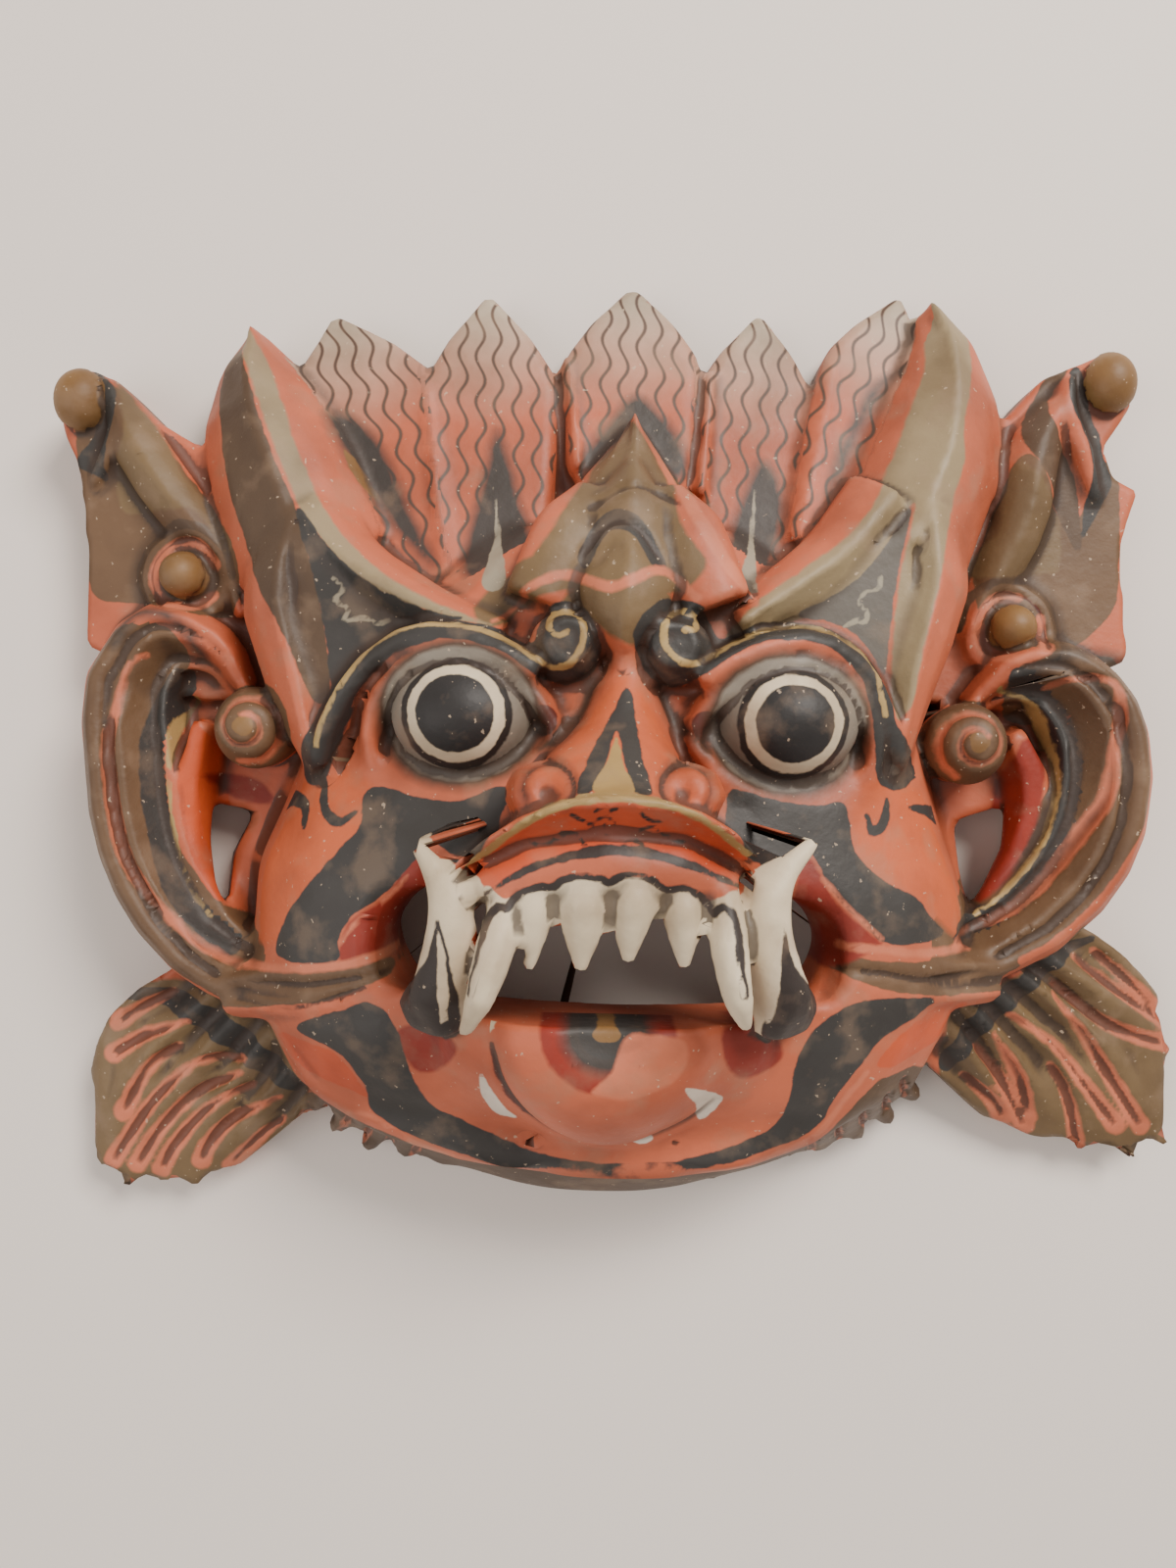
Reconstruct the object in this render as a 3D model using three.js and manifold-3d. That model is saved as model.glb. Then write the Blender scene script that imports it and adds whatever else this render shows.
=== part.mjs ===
// A carved and painted wooden guardian mask: five flame petals over a fanged, bulging-eyed
// face, with a scroll, an ear plate and a leaf fan on each side. It lies on its sawn back.
// Millimetres. +X is the viewer's right, +Y runs to the crown and +Z out of the face.
import * as THREE from 'three';
import { mergeVertices } from 'three/addons/utils/BufferGeometryUtils.js';
import Module from 'manifold-3d';

const wasm = await Module();
wasm.setup();

// ---------------------------------------------------------------- driving dimensions
const FACET = 0.7; // how far a facet may lie from the true curve
const FINE_STEPS = 48; // how finely a curve is looked at before it is thinned to facets
const BACK = 0; // the sawn back that the mask lies on
const BURIED = 30; // the foot of a form that only shows on the face
const CROWN_TIP = 12; // the front of a petal at its tip
const CROWN_ROOT = 28; // and where it meets the forehead
const EAR_PLATE = 18;
const EYE = { x: 38.5, y: 16, top: 64, across: 18, up: 15, deep: 20 };
const MOUTH_OFFSET = -3; // the carver set the mouth a little to the viewer's left
const JAW_EDGE = -53.5; // the straight upper edge of the lower jaw
const GAP_FLARE = 0.07; // how far the holes beside the cheeks widen to the back
const HOLLOW = { y: -14, across: 68, up: 74, deep: 50 };

// ---------------------------------------------------------------- cross-sections
// Each corner is [share of the half width, share of the depth below the crest].
const ROOF = [[-1, 1], [-0.6, 0.42], [0, 0], [0.6, 0.42], [1, 1]];
const ROUND = [[-1, 1], [-0.8, 0.4], [-0.3, 0.05], [0.3, 0.05], [0.8, 0.4], [1, 1]];
const BEAD = [[-1, 1], [-0.45, 0.05], [0.45, 0.05], [1, 1]];
const SLAB = [[-1, 1], [-0.88, 0], [0.88, 0], [1, 1]];
const FROND = [[-1, 1], [-0.5, 0], [0.05, 0.45], [0.5, 0.05], [1, 1]];
const SCROLL = [
  [-1, 1], [-0.95, 0.42], [-0.6, 0], [-0.38, 0], [-0.2, 0.2], [0, 0.02], [0.6, 0.55], [0.86, 0.42], [1, 1],
];
const LIP = [[-1, 1], [-0.4, 0.8], [0.3, 0.42], [0.86, 0], [1, 0.25]];

// ---------------------------------------------------------------- solids and booleans
/** A manifold solid from a closed geometry. */
function solid(geometry) {
  geometry.deleteAttribute('normal');
  geometry.deleteAttribute('uv');
  const closed = mergeVertices(geometry, 1e-4);
  return new wasm.Manifold(new wasm.Mesh({
    numProp: 3,
    vertProperties: new Float32Array(closed.attributes.position.array),
    triVerts: new Uint32Array(closed.index.array),
  }));
}

/** Joins a list of solids. */
function join(solids) {
  return solids.reduce((whole, next) => whole.add(next));
}

/** Six times the volume inside a closed indexed mesh, negative when its faces point in. */
function signedVolume(points, faces) {
  const cross = new THREE.Vector3();
  let sum = 0;
  for (let i = 0; i < faces.length; i += 3) {
    cross.crossVectors(points[faces[i + 1]], points[faces[i + 2]]);
    sum += points[faces[i]].dot(cross);
  }
  return sum;
}

/** Adds a flat fan of faces that closes one end of a row of rings. */
function cap(points, faces, corners, row, inward) {
  const middle = new THREE.Vector3();
  for (let c = 0; c < corners; c += 1) middle.addScaledVector(points[row * corners + c], 1 / corners);
  const hub = points.push(middle) - 1;
  for (let c = 0; c < corners; c += 1) {
    const a = row * corners + c;
    const b = row * corners + ((c + 1) % corners);
    faces.push(...(inward ? [hub, b, a] : [hub, a, b]));
  }
}

/** A solid skinned over a row of rings with equal numbers of corners; a loop has no ends. */
function skin(rings, loop = false) {
  const corners = rings[0].length;
  const points = rings.flat();
  const faces = [];
  for (let r = 0; r < rings.length - (loop ? 0 : 1); r += 1) {
    const next = ((r + 1) % rings.length) * corners;
    for (let c = 0; c < corners; c += 1) {
      const d = (c + 1) % corners;
      faces.push(r * corners + c, r * corners + d, next + d, r * corners + c, next + d, next + c);
    }
  }
  if (!loop) {
    cap(points, faces, corners, 0, true);
    cap(points, faces, corners, rings.length - 1, false);
  }
  if (signedVolume(points, faces) < 0) faces.reverse();
  const geometry = new THREE.BufferGeometry().setFromPoints(points);
  geometry.setIndex(faces);
  return solid(geometry);
}

/** Keeps the ends of a fine row of stations, and those between that a straight run would miss. */
function thin(row, facet) {
  const [first, last] = [row[0], row[row.length - 1]];
  const miss = ({ at, half }, i) => {
    const share = i / (row.length - 1);
    const bend = at.distanceTo(first.at.clone().lerp(last.at, share));
    return bend + Math.abs(half - THREE.MathUtils.lerp(first.half, last.half, share));
  };
  const misses = row.map(miss);
  const worst = misses.indexOf(Math.max(...misses));
  if (misses[worst] < facet) return [first, last];
  return [...thin(row.slice(0, worst + 1), facet), ...thin(row.slice(worst), facet).slice(1)];
}

/** The stations of a smooth curve through a line of [x, y, crest, half width] rows. */
function stations(line, facet = FACET, loop = false) {
  const path = new THREE.CatmullRomCurve3(line.map(([x, y, z]) => new THREE.Vector3(x, y, z)), loop);
  const widths = new THREE.CatmullRomCurve3(line.map(([, , , w]) => new THREE.Vector3(w, 0, 0)), loop);
  const fine = Array.from({ length: FINE_STEPS + 1 }, (_, i) => {
    const t = i / FINE_STEPS;
    const { x, y } = path.getTangent(t);
    const across = new THREE.Vector2(-y, x).normalize();
    return { at: path.getPoint(t), half: widths.getPoint(t).x, across };
  });
  const kept = thin(fine, facet);
  return loop ? kept.slice(1) : kept;
}

/** How many sides a round form of this radius needs. */
function sides(radius) {
  return 2 * Math.ceil(Math.PI / 2 / Math.acos(1 - FACET / radius));
}

/**
 * A raised form that runs along a line of [x, y, crest, half width] stations. Its upright
 * sides go down to the foot, and depth is how far its edges lie below its crest.
 */
function carve(line, { section = ROUND, depth = 6, foot = BURIED, facet = FACET, loop = false } = {}) {
  return skin(stations(line, facet, loop).map(({ at, half, across }) => {
    const put = (share, z) => new THREE.Vector3(
      at.x + across.x * half * share, at.y + across.y * half * share, z);
    const crown = section.map(([share, fall]) => put(share, Math.max(at.z - fall * depth, foot + 1)));
    return [...crown, put(1, foot), put(-1, foot)];
  }), loop);
}

/** An ellipsoid about its middle. */
function dome(x, y, z, across, up, deep) {
  const round = sides(Math.max(across, up));
  const ball = new THREE.SphereGeometry(1, round, round / 2);
  ball.rotateX(Math.PI / 2);
  ball.scale(across, up, deep);
  ball.translate(x, y, z);
  return solid(ball);
}

/** A flat plate of the given outline that stands on the back. */
function plate(outline, top, bottom = BACK) {
  const shape = new THREE.Shape(outline.map(([x, y]) => new THREE.Vector2(x, y)));
  const slab = new THREE.ExtrudeGeometry(shape, { depth: top - bottom, bevelEnabled: false });
  slab.translate(0, 0, bottom);
  return solid(slab);
}

/** A ring of round bar that lies flat. */
function ring(x, y, z, radius, bar) {
  const torus = new THREE.TorusGeometry(radius, bar, 5, sides(radius));
  torus.translate(x, y, z);
  return solid(torus);
}

// ---------------------------------------------------------------- crown
/** One flame petal from its root behind the forehead to its pointed tip. */
function petal([rootX, rootY], [tipX, tipY], half) {
  const along = (share, top, width) => [
    THREE.MathUtils.lerp(rootX, tipX, share), THREE.MathUtils.lerp(rootY, tipY, share), top, width];
  const rise = (share) => THREE.MathUtils.lerp(CROWN_ROOT, CROWN_TIP, share);
  return carve([
    along(0, rise(0), half * 0.62), along(0.35, rise(0.35), half * 0.88),
    along(0.68, rise(0.68), half), along(0.86, rise(0.86), half * 0.62), along(1, rise(1), 0.8),
  ], { section: SLAB, depth: 2.5, foot: BACK });
}

/** The sharp rib that parts two petals. */
function petalRib(line) {
  return carve(line.map(([x, y, z], i) => [x, y, z, 1.6 + 0.5 * i]), {
    section: [[-1, 1], [0, 0], [1, 1]], depth: 4, foot: BACK,
  });
}

/** The five petals on the plate that backs them, with the ribs between. */
function crown() {
  return join([
    plate([[-62, 60], [-62, 96], [-17, 106], [21, 104], [58, 108], [62, 60]], 16),
    petal([-54, 45], [-80, 125], 22),
    petal([-34, 45], [-38.5, 131.5], 18.5),
    petal([1.5, 62], [0.5, 134.5], 18.5),
    petal([31, 47], [35, 128], 16.5),
    petal([50, 62], [73, 133.5], 14.5),
    petalRib([[-54, 103.5, 18.5], [-50, 76, 25], [-47, 54, 27.5]]),
    petalRib([[-16.8, 113.5, 18.5], [-14.5, 97, 22.5], [-13, 82, 26.5]]),
    petalRib([[21.8, 110.5, 18.5], [20.8, 93, 22.5], [19, 76, 26.5]]),
    petalRib([[54, 114, 18.5], [50.5, 91, 23.5], [46, 74, 27]]),
  ]);
}

// ---------------------------------------------------------------- horn-like brow leaves
/** A leaf blade from its tip to the fork, an outer arm to the cheek and an inner one. */
function horn({ blade, outer, inner, panel }) {
  return join([
    carve(blade, { section: ROOF, depth: 16, foot: BACK }),
    carve(outer, { section: ROOF, depth: 14, foot: BACK }),
    carve(inner, { section: ROOF, depth: 12, foot: BACK }),
    plate(panel, 42),
  ]);
}

function horns() {
  const left = horn({
    blade: [[-99.5, 118, 24, 2.5], [-99, 108, 29, 11.5], [-97, 96, 33, 16.5], [-90, 78, 38, 19.5],
      [-81, 56, 42, 20]],
    outer: [[-83, 66, 41, 12], [-86, 45, 44, 12], [-80, 22, 46, 10], [-75, 3, 46, 5]],
    inner: [[-82, 66, 41, 11], [-70, 54, 45, 9], [-57, 46, 49, 7.5], [-44, 40, 52, 6], [-30, 36, 55, 4]],
    panel: [[-82, 62], [-78, 20], [-70, 8], [-60, 28], [-42, 38], [-62, 48]],
  });
  const right = horn({
    blade: [[78.5, 128, 24, 3], [82.5, 117, 29, 11], [83, 104, 33, 15.5], [80, 86, 38, 18],
      [70, 61, 43, 18.5]],
    outer: [[75, 70, 42, 12], [76, 52, 45, 11.5], [71, 32, 47, 9.5], [67, 6, 46, 5]],
    inner: [[66, 74, 42, 11], [53, 58, 46, 9.5], [39, 47.5, 50, 7.5], [27, 39, 54, 4.5]],
    panel: [[69, 66], [71, 20], [66, 8], [56, 28], [38, 38], [52, 52]],
  });
  return left.add(right);
}

// ---------------------------------------------------------------- ears, scrolls and fans
/** The plate behind an ear with its knob, leaf ridge, small ball and ring. */
function ear({ outline, knob, leaf, ball, collar }) {
  return join([
    plate(outline, EAR_PLATE),
    dome(knob[0], knob[1], 17, 7.4, 8.6, 8.5),
    plate([-1, 1].flatMap((s) => [[knob[0] + 5 * s, knob[1] - 6 * s], [knob[0] + 5 * s, knob[1] + 6 * s]]),
      12),
    carve(leaf, { section: ROOF, depth: 6, foot: 4 }),
    carve(collar, { section: BEAD, depth: 5, foot: 4 }),
    ring(ball[0], ball[1], EAR_PLATE + 1, 10.5, 3.2),
    dome(ball[0], ball[1], EAR_PLATE + 4, 6.4, 6.4, 9),
  ]);
}

/** The big C scroll: a channelled band with its outer edge on its right, a volute and a web. */
function scroll({ band, wall, volute, web }) {
  return join([
    carve(band, { section: SCROLL, depth: 17, foot: BACK }),
    carve(wall, { section: BEAD, depth: 14, foot: BACK }),
    plate(web, 14),
    dome(...volute, 24, 11, 11, 16),
  ]);
}

/** A hole that widens towards the back, cut through the web inside a scroll. */
function flaredHole(outline) {
  const ringAt = (z, flare) => outline.map(([x, y]) => new THREE.Vector3(x * flare, y * flare, z));
  return skin([ringAt(60, 1 - 2 * GAP_FLARE), ringAt(20, 1), ringAt(-1, 1 + GAP_FLARE)]);
}

/**
 * A leaf fan as one fluted skin. Each frond is a smooth [x, y, crest] line, a valley runs
 * between every two of them, and the tips stand out past the valleys' ends.
 */
function fan(fronds, { steps = 5, valley = 5, notch = 0.07 } = {}) {
  const curves = fronds.map((line) => new THREE.CatmullRomCurve3(line.map((p) => new THREE.Vector3(...p))));
  const rings = Array.from({ length: steps + 1 }, (_, i) => {
    const t = i / steps;
    const crests = curves.map((curve) => curve.getPoint(t));
    const inner = curves.map((curve) => curve.getPoint(t * (1 - notch)));
    const top = crests.flatMap((crest, k) => {
      if (k === 0) return [crest];
      const low = inner[k - 1].clone().lerp(inner[k], 0.5);
      low.z -= valley * Math.sin(Math.PI * Math.min(1, 0.25 + t));
      return [low, crest];
    });
    const sole = (p) => new THREE.Vector3(p.x, p.y, BACK);
    return [...top, sole(top[top.length - 1]), sole(top[0])];
  });
  return skin(rings);
}

function leftSide() {
  return join([
    ear({
      outline: [
        [-151, 96], [-150, 104], [-143, 107.5], [-135, 103.5], [-124.5, 93.5], [-113, 87], [-100, 70],
        [-84, 40], [-80, 22], [-112, 20], [-143, 34], [-142.5, 55], [-144, 70], [-146, 82], [-150, 90],
      ],
      knob: [-144.8, 98.5],
      leaf: [
        [-137, 100, 23, 4], [-128, 85, 27, 7], [-117, 70, 27, 7], [-105, 57, 25, 5], [-100, 42, 24, 3],
      ],
      collar: [[-138, 104, 22, 2], [-134, 95, 23, 3], [-137, 84, 22, 3], [-141, 76, 21, 2]],
      ball: [-115, 52],
    }),
    scroll({
      band: [
        [-99, 22, 27, 4], [-107, 33, 30, 7], [-120, 35.5, 32, 10], [-128, 23, 34, 11.5], [-127, 5, 35, 12],
        [-124, -15, 35, 12], [-116.5, -32, 35, 11.5], [-105, -45, 35, 10.5], [-91, -52, 37, 9],
      ],
      wall: [[-109, 14, 28, 4], [-112.5, -2, 27, 5.5], [-111.5, -20, 26, 5.5], [-103, -36, 28, 5]],
      volute: [-94, 12.5],
      web: [[-118, 10], [-112, -34], [-96, -46], [-84, -44], [-84, 14], [-92, 26], [-110, 31], [-120, 24]],
    }),
    fan([
      [[-106, -46, 20], [-124, -55, 19], [-137, -67, 15], [-142.5, -81, 10]],
      [[-101, -54, 25], [-119, -69, 22], [-134, -88, 16], [-141, -107, 10]],
      [[-95, -60, 26], [-111, -76, 22], [-125, -96, 15], [-133, -114, 10]],
      [[-88, -65, 26], [-101, -82, 21], [-113, -99, 14], [-121, -112, 10]],
      [[-80, -70, 26], [-92, -86, 21], [-104, -100, 14], [-113, -112.5, 10]],
      [[-70, -76, 24], [-80, -87, 20], [-92, -98, 14], [-102, -107, 9]],
    ]),
  ]);
}

function rightSide() {
  return join([
    ear({
      outline: [
        [133.5, 103], [133, 112], [126, 117.5], [110, 110.5], [98, 97], [90, 78], [82, 46], [78, 24],
        [104, 22], [134, 36], [132.5, 52], [131.5, 67], [136, 81], [129, 84.5], [126.5, 92.5],
      ],
      knob: [127, 109],
      leaf: [[113, 103, 23, 4], [107, 90, 27, 7], [104, 72, 27, 7], [97, 56, 25, 6], [91, 42, 24, 3]],
      collar: [[116, 111, 22, 2], [115, 101, 24, 3.5], [120, 90, 23, 3.5], [124, 78, 21, 2]],
      ball: [101, 43],
    }),
    scroll({
      band: [
        [78, -44.5, 38, 8], [93, -40, 36, 9.5], [109, -30, 35, 11.5], [120.5, -15, 35, 12.5],
        [125, 2, 35, 12.5], [122.5, 20, 34, 12], [111, 31, 33, 10], [99, 30, 30, 6.5], [91, 22, 27, 4],
      ],
      wall: [[102, 16, 26, 5], [108.5, 2, 25, 7], [105.5, -16, 24, 6.5], [96, -29, 26, 5]],
      volute: [88, 12.5],
      web: [[114, 10], [110, -28], [92, -40], [80, -40], [80, 16], [88, 26], [104, 29], [116, 22]],
    }),
    fan([
      [[106, -28, 20], [124, -35, 19], [138, -44, 15], [148.5, -54, 10]],
      [[104, -38, 25], [122, -48, 22], [140, -59, 16], [152, -68, 10]],
      [[101, -45, 26], [120, -58, 22], [140, -76, 15], [152.5, -96, 10]],
      [[96, -50, 26], [113, -64, 21], [130, -82, 15], [143, -100, 10]],
      [[90, -54, 26], [104, -68, 21], [118, -84, 15], [128, -97, 10]],
      [[84, -59, 25], [96, -71, 20], [107, -85, 14], [115, -95, 9]],
      [[74, -64, 24], [84, -73, 19], [94, -82, 13], [102, -89, 9]],
    ]),
  ]);
}

// ---------------------------------------------------------------- face
/** The broad mound of the face, from the forehead to the chin. */
function mound() {
  return carve([
    [0, 66, 36, 40], [0, 44, 46, 66], [0, 20, 50, 80], [-1, -6, 57, 86], [-2, -32, 61, 94],
    [-3, -56, 61, 91], [-3, -76, 54, 84], [-3, -92, 38, 72], [-3, -102, 25, 56], [-3, -110, 15, 32],
  ], {
    section: [-1, -0.93, -0.8, -0.6, -0.3, 0, 0.3, 0.6, 0.8, 0.93, 1].map((s) => [
      s, 1 - Math.sqrt(1 - Math.min(s ** 4, 0.999)) + 0.3 * s * s]),
    depth: 30,
    foot: BACK,
    facet: 3 * FACET,
  });
}

/** The roll under a cheek and the raised band along the jaw. */
function cheek(roll, jawBand) {
  return join([
    carve(roll, { section: FROND, depth: 7, foot: 10 }),
    carve(jawBand, { section: SLAB, depth: 4, foot: 10 }),
  ]);
}

/** The short locks of beard along one side of the chin. */
function beard(locks) {
  return join(locks.map(([x, y, reach]) => carve(
    [[x, y, 24, 3.6], [x + reach[0], y + reach[1], 13, 2.4]],
    { section: BEAD, depth: 5, foot: BACK })));
}

function eye(x, y) {
  return dome(x, y, EYE.top - EYE.deep, EYE.across, EYE.up, EYE.deep);
}

/** The brow ridge with its end knob and the volute beside the nose. */
function brow(line, curl, side) {
  return join([
    carve(line, { section: BEAD, depth: 9 }),
    dome(curl[0], curl[1], 50, 9.5, 9, 10),
    ring(curl[0] - 0.5 * side, curl[1] + 0.5, 58.5, 5.2, 1.4),
  ]);
}

function nose() {
  const wings = [[-19, -2.5], [14, -2]].map(([x, y]) => dome(x, y, 66, 9, 8, 14));
  const body = carve([
    [0, 29, 56, 6], [-0.5, 17, 64, 10], [-1.5, 8, 75, 14], [-2.5, 0, 85, 18], [-3, -6, 86, 19],
  ], { section: ROUND, depth: 20 });
  const nostrils = [[-17.5, -1.5], [12, -1]].map(([x, y]) => dome(x, y, 82, 4.6, 4.6, 6));
  return join([body, ...wings]).subtract(join(nostrils));
}

/** The layered leaf ornament on the forehead. */
function foreheadLeaf() {
  return join([
    carve([[1, 94, 36, 1], [0.5, 78, 44, 12], [0, 64, 50, 19], [-1, 50, 54, 25], [-1.5, 40, 56, 27]],
      { section: ROOF, depth: 14, foot: 10 }),
    carve([[0.5, 80, 46, 2], [0, 68, 54, 9], [0, 54, 58, 12], [0, 46, 60, 12]],
      { section: ROOF, depth: 6, foot: 20 }),
    carve([[-0.5, 57, 60, 3], [-0.5, 46, 64, 11], [-0.5, 38, 64, 9], [-0.5, 29.5, 60, 2]],
      { section: ROOF, depth: 8, foot: 30 }),
    ...[-1, 1].map((s) => carve([[9 * s, 73, 46, 4], [14 * s, 60, 54, 9.5], [21 * s, 43, 57, 9]],
      { section: ROUND, depth: 7, foot: 20 })),
  ]);
}

/** The rim of each eye socket, one closed loop. */
function eyelids() {
  const left = [[-61, 5, 49, 3], [-59, 19, 53, 3.5], [-49, 29, 56, 3.5], [-35, 29, 58, 3.5],
    [-22, 21, 58, 3.5], [-16, 12, 57, 3], [-26, 1, 56, 4], [-40, -4.5, 54, 4.5], [-54, -1, 51, 4]];
  const right = [[60, 4, 49, 3], [57.5, 19, 53, 3.5], [46.5, 28.5, 56, 3.5], [34, 28.5, 58, 3.5],
    [22, 21.5, 58, 3.5], [15.5, 12, 57, 3], [24.5, 1, 56, 4], [38, -5, 54, 4.5], [53, -3, 51, 4]];
  return join([left, right].map((line) => carve(line, { section: BEAD, depth: 7, loop: true })));
}

/** The lower jaw with the tongue over it, before the mouth is cut. */
function jaw() {
  const x = MOUTH_OFFSET;
  const body = carve([
    [x, -46, 72, 43], [x, -56, 72, 46], [x, -66, 69, 44], [x, -77, 60, 36], [x, -87, 50, 22],
  ], { section: ROUND, depth: 24, foot: BURIED });
  const tongue = carve([
    [x, -46, 75, 26], [x, -58, 75, 26.5], [x, -68, 73, 24], [x, -78, 66, 17], [x, -85, 58, 8],
  ], { section: ROUND, depth: 9, foot: BURIED });
  return body.add(tongue).subtract(dome(x, -54, 78, 15, 12, 7));
}

/** The upper lip with its proud rim. */
function lip() {
  return carve([
    [-36, -20.5, 82, 2.5], [-28, -15.5, 88, 4], [-16, -9.5, 93, 5], [-4, -7, 95.5, 5.2],
    [9, -8.2, 93, 5], [20.5, -12.8, 88, 4.2], [28.5, -18.5, 82, 2.5],
  ], { section: LIP, depth: 12, foot: 48 });
}

// ---------------------------------------------------------------- mouth
/** The opening between the jaws, right through the mask. */
function mouthOpening() {
  return plate([
    [-50, -27], [-40, -22], [-22, -19], [-3, -17], [16, -19], [33, -22], [44, -28], [49.5, -38],
    [46, -47], [37, JAW_EDGE], [-44, JAW_EDGE], [-53, -47], [-57, -37],
  ], 100, -1);
}

/** One front tooth: a five-sided taper that ends in a blunt point. */
function tooth(x, root, tip, z, half, lean) {
  const facets = [[-1, -0.1], [-0.35, 0.9], [0.3, 1], [1, 0], [0.6, -1], [-0.6, -1]];
  const cuts = [[-0.12, 0.5], [0.04, 0.9], [0.22, 1], [0.55, 0.72], [1, 0.14]];
  return skin(cuts.map(([share, size]) => facets.map(([u, v]) => new THREE.Vector3(
    x + lean * share + u * half * size,
    root + (tip - root) * share,
    z - 2.5 * share * share + v * 4.2 * size))));
}

/** A tusk or canine: a faceted bar along [x, y, z, half width] stations. */
function fang(line, thick) {
  const facets = [[-1, 0], [-0.45, 0.8], [0.2, 1], [1, 0.2], [0.7, -0.8], [-0.6, -0.9]];
  return skin(stations(line).map(({ at, half, across }) => facets.map(([u, v]) => new THREE.Vector3(
    at.x + across.x * half * u,
    at.y + across.y * half * u,
    at.z + v * Math.min(thick, half + 1)))));
}

/** The gum and teeth of the upper jaw, and the tusks on the lobes at the mouth's corners. */
function teeth() {
  return join([
    dome(-42, -50, 64, 8.5, 8, 12),
    dome(36.5, -49, 64, 8.5, 8, 12),
    carve([[-33, -23.5, 82, 3], [-20, -19.3, 87, 6], [-4, -16.8, 89, 6.4], [11, -18, 87, 6],
      [24, -22, 82, 3]], { section: ROUND, depth: 5, foot: 62 }),
    tooth(-19.3, -23.5, -41, 83, 5, -0.8),
    tooth(-8.8, -21.5, -41, 85, 5.9, -0.4),
    tooth(1.8, -21.5, -39, 85, 5.4, -1.2),
    tooth(12, -23.5, -40, 83, 5, 0.8),
    fang([[-24.5, -22, 80, 3.5], [-27, -34, 85, 4.6], [-30, -45, 85, 3.6], [-33.8, -54, 80, 1.4]], 4.5),
    fang([[20.5, -21, 80, 3.5], [21.8, -34, 85, 4.4], [24, -45, 85, 3.4], [26.6, -51.5, 80, 1.4]], 4.5),
    fang([[-48.5, -10, 75, 1.2], [-43, -16.5, 77, 2.4], [-38, -25, 79, 5.2], [-37.6, -36, 79, 7],
      [-40, -47, 76, 7.4], [-38.5, -56, 70, 4]], 5),
    fang([[42.5, -10, 75, 1.6], [36.5, -15, 77, 2.8], [31, -23.5, 79, 5.4], [31.2, -35, 79, 6.8],
      [34.5, -46, 76, 7.2], [33, -55, 70, 4]], 5),
  ]);
}

// ---------------------------------------------------------------- the whole mask
function mask() {
  const face = join([
    mound(),
    cheek(
      [[-100, -55, 36, 7], [-84, -52.5, 45, 8], [-69, -50, 53, 7], [-54, -45, 58, 3.5]],
      [[-82, -58, 38, 6], [-72, -72, 40, 7], [-54, -83, 44, 6], [-30, -90, 45, 4.5], [-3, -92.5, 46, 4]],
    ),
    cheek(
      [[97, -46.5, 36, 7], [80, -46.5, 45, 8], [65, -45.5, 53, 7], [50, -42.5, 58, 3.5]],
      [[70, -52, 38, 6], [63, -67, 40, 7], [50, -80, 44, 6.5], [30, -89, 45, 5], [-3, -92.5, 46, 4]],
    ),
    beard([
      [-76, -84, [-8, -6]], [-69, -88, [-7, -8]], [-61, -91, [-6, -10]], [-53, -94, [-4, -9]],
      [-44, -96, [-3, -9]], [54, -90, [4, -9]], [62, -86, [6, -9]], [69, -82, [7, -8]],
      [75, -77, [8, -6]],
    ]),
    eye(-EYE.x, EYE.y),
    eye(EYE.x, EYE.y),
    eyelids(),
    brow([[-75, 1.5, 46, 3.2], [-71, 14, 50, 4], [-63, 26, 53, 4], [-52, 33.5, 56, 4], [-41, 34, 58, 4],
      [-30, 30.5, 60, 4], [-21, 25.5, 60, 4.5]], [-14.5, 32.5], -1),
    brow([[68, 5, 46, 3.2], [63.5, 17, 50, 4], [56.5, 28, 53, 4], [47, 34, 56, 4], [36, 34, 58, 4],
      [25, 29.5, 60, 4], [17, 24.5, 60, 4.5]], [11.5, 32], 1),
    foreheadLeaf(),
    nose(),
    lip(),
    jaw(),
  ]);
  const hollow = dome(0, HOLLOW.y, 0, HOLLOW.across, HOLLOW.up, HOLLOW.deep);
  const corners = [[-53.5, -37], [47.5, -38]].map(([x, y]) => dome(x, y, 62, 7.5, 14, 16));
  const gaps = [
    [[-107, -7], [-95.5, -9], [-101, -20], [-102.5, -36], [-106, -29], [-107.5, -17]],
    [[101.5, -3], [88, -7.5], [90, -21], [92.5, -30.5], [96, -25], [101, -14]],
  ].map(flaredHole);
  return join([face, crown(), horns(), leftSide(), rightSide()])
    .subtract(join([mouthOpening(), hollow, ...corners, ...gaps]))
    .add(teeth());
}

/** Turns a solid into a geometry whose origin is the middle of its back. */
function onItsBack(whole) {
  const { vertProperties, triVerts } = whole.getMesh();
  const geometry = new THREE.BufferGeometry();
  geometry.setAttribute('position', new THREE.BufferAttribute(vertProperties, 3));
  geometry.setIndex(new THREE.BufferAttribute(triVerts, 1));
  geometry.computeBoundingBox();
  const { min, max } = geometry.boundingBox;
  geometry.translate(-(min.x + max.x) / 2, -(min.y + max.y) / 2, -min.z);
  geometry.computeVertexNormals();
  return geometry;
}

const paintedWood = new THREE.MeshStandardMaterial({ color: 0xc8775a, roughness: 0.6, metalness: 0 });
const carvedMask = new THREE.Mesh(onItsBack(mask()), paintedWood);
carvedMask.name = 'carved_mask';

const group = new THREE.Group();
group.add(carvedMask);
export default group;
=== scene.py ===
"""The carved and painted guardian mask: fine carving and aged paint over the CAD's solid.

Every length in the drawing is in millimetres. Its zero lies between the eyes, as in the CAD,
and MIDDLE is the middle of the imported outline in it.
"""
import math

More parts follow.
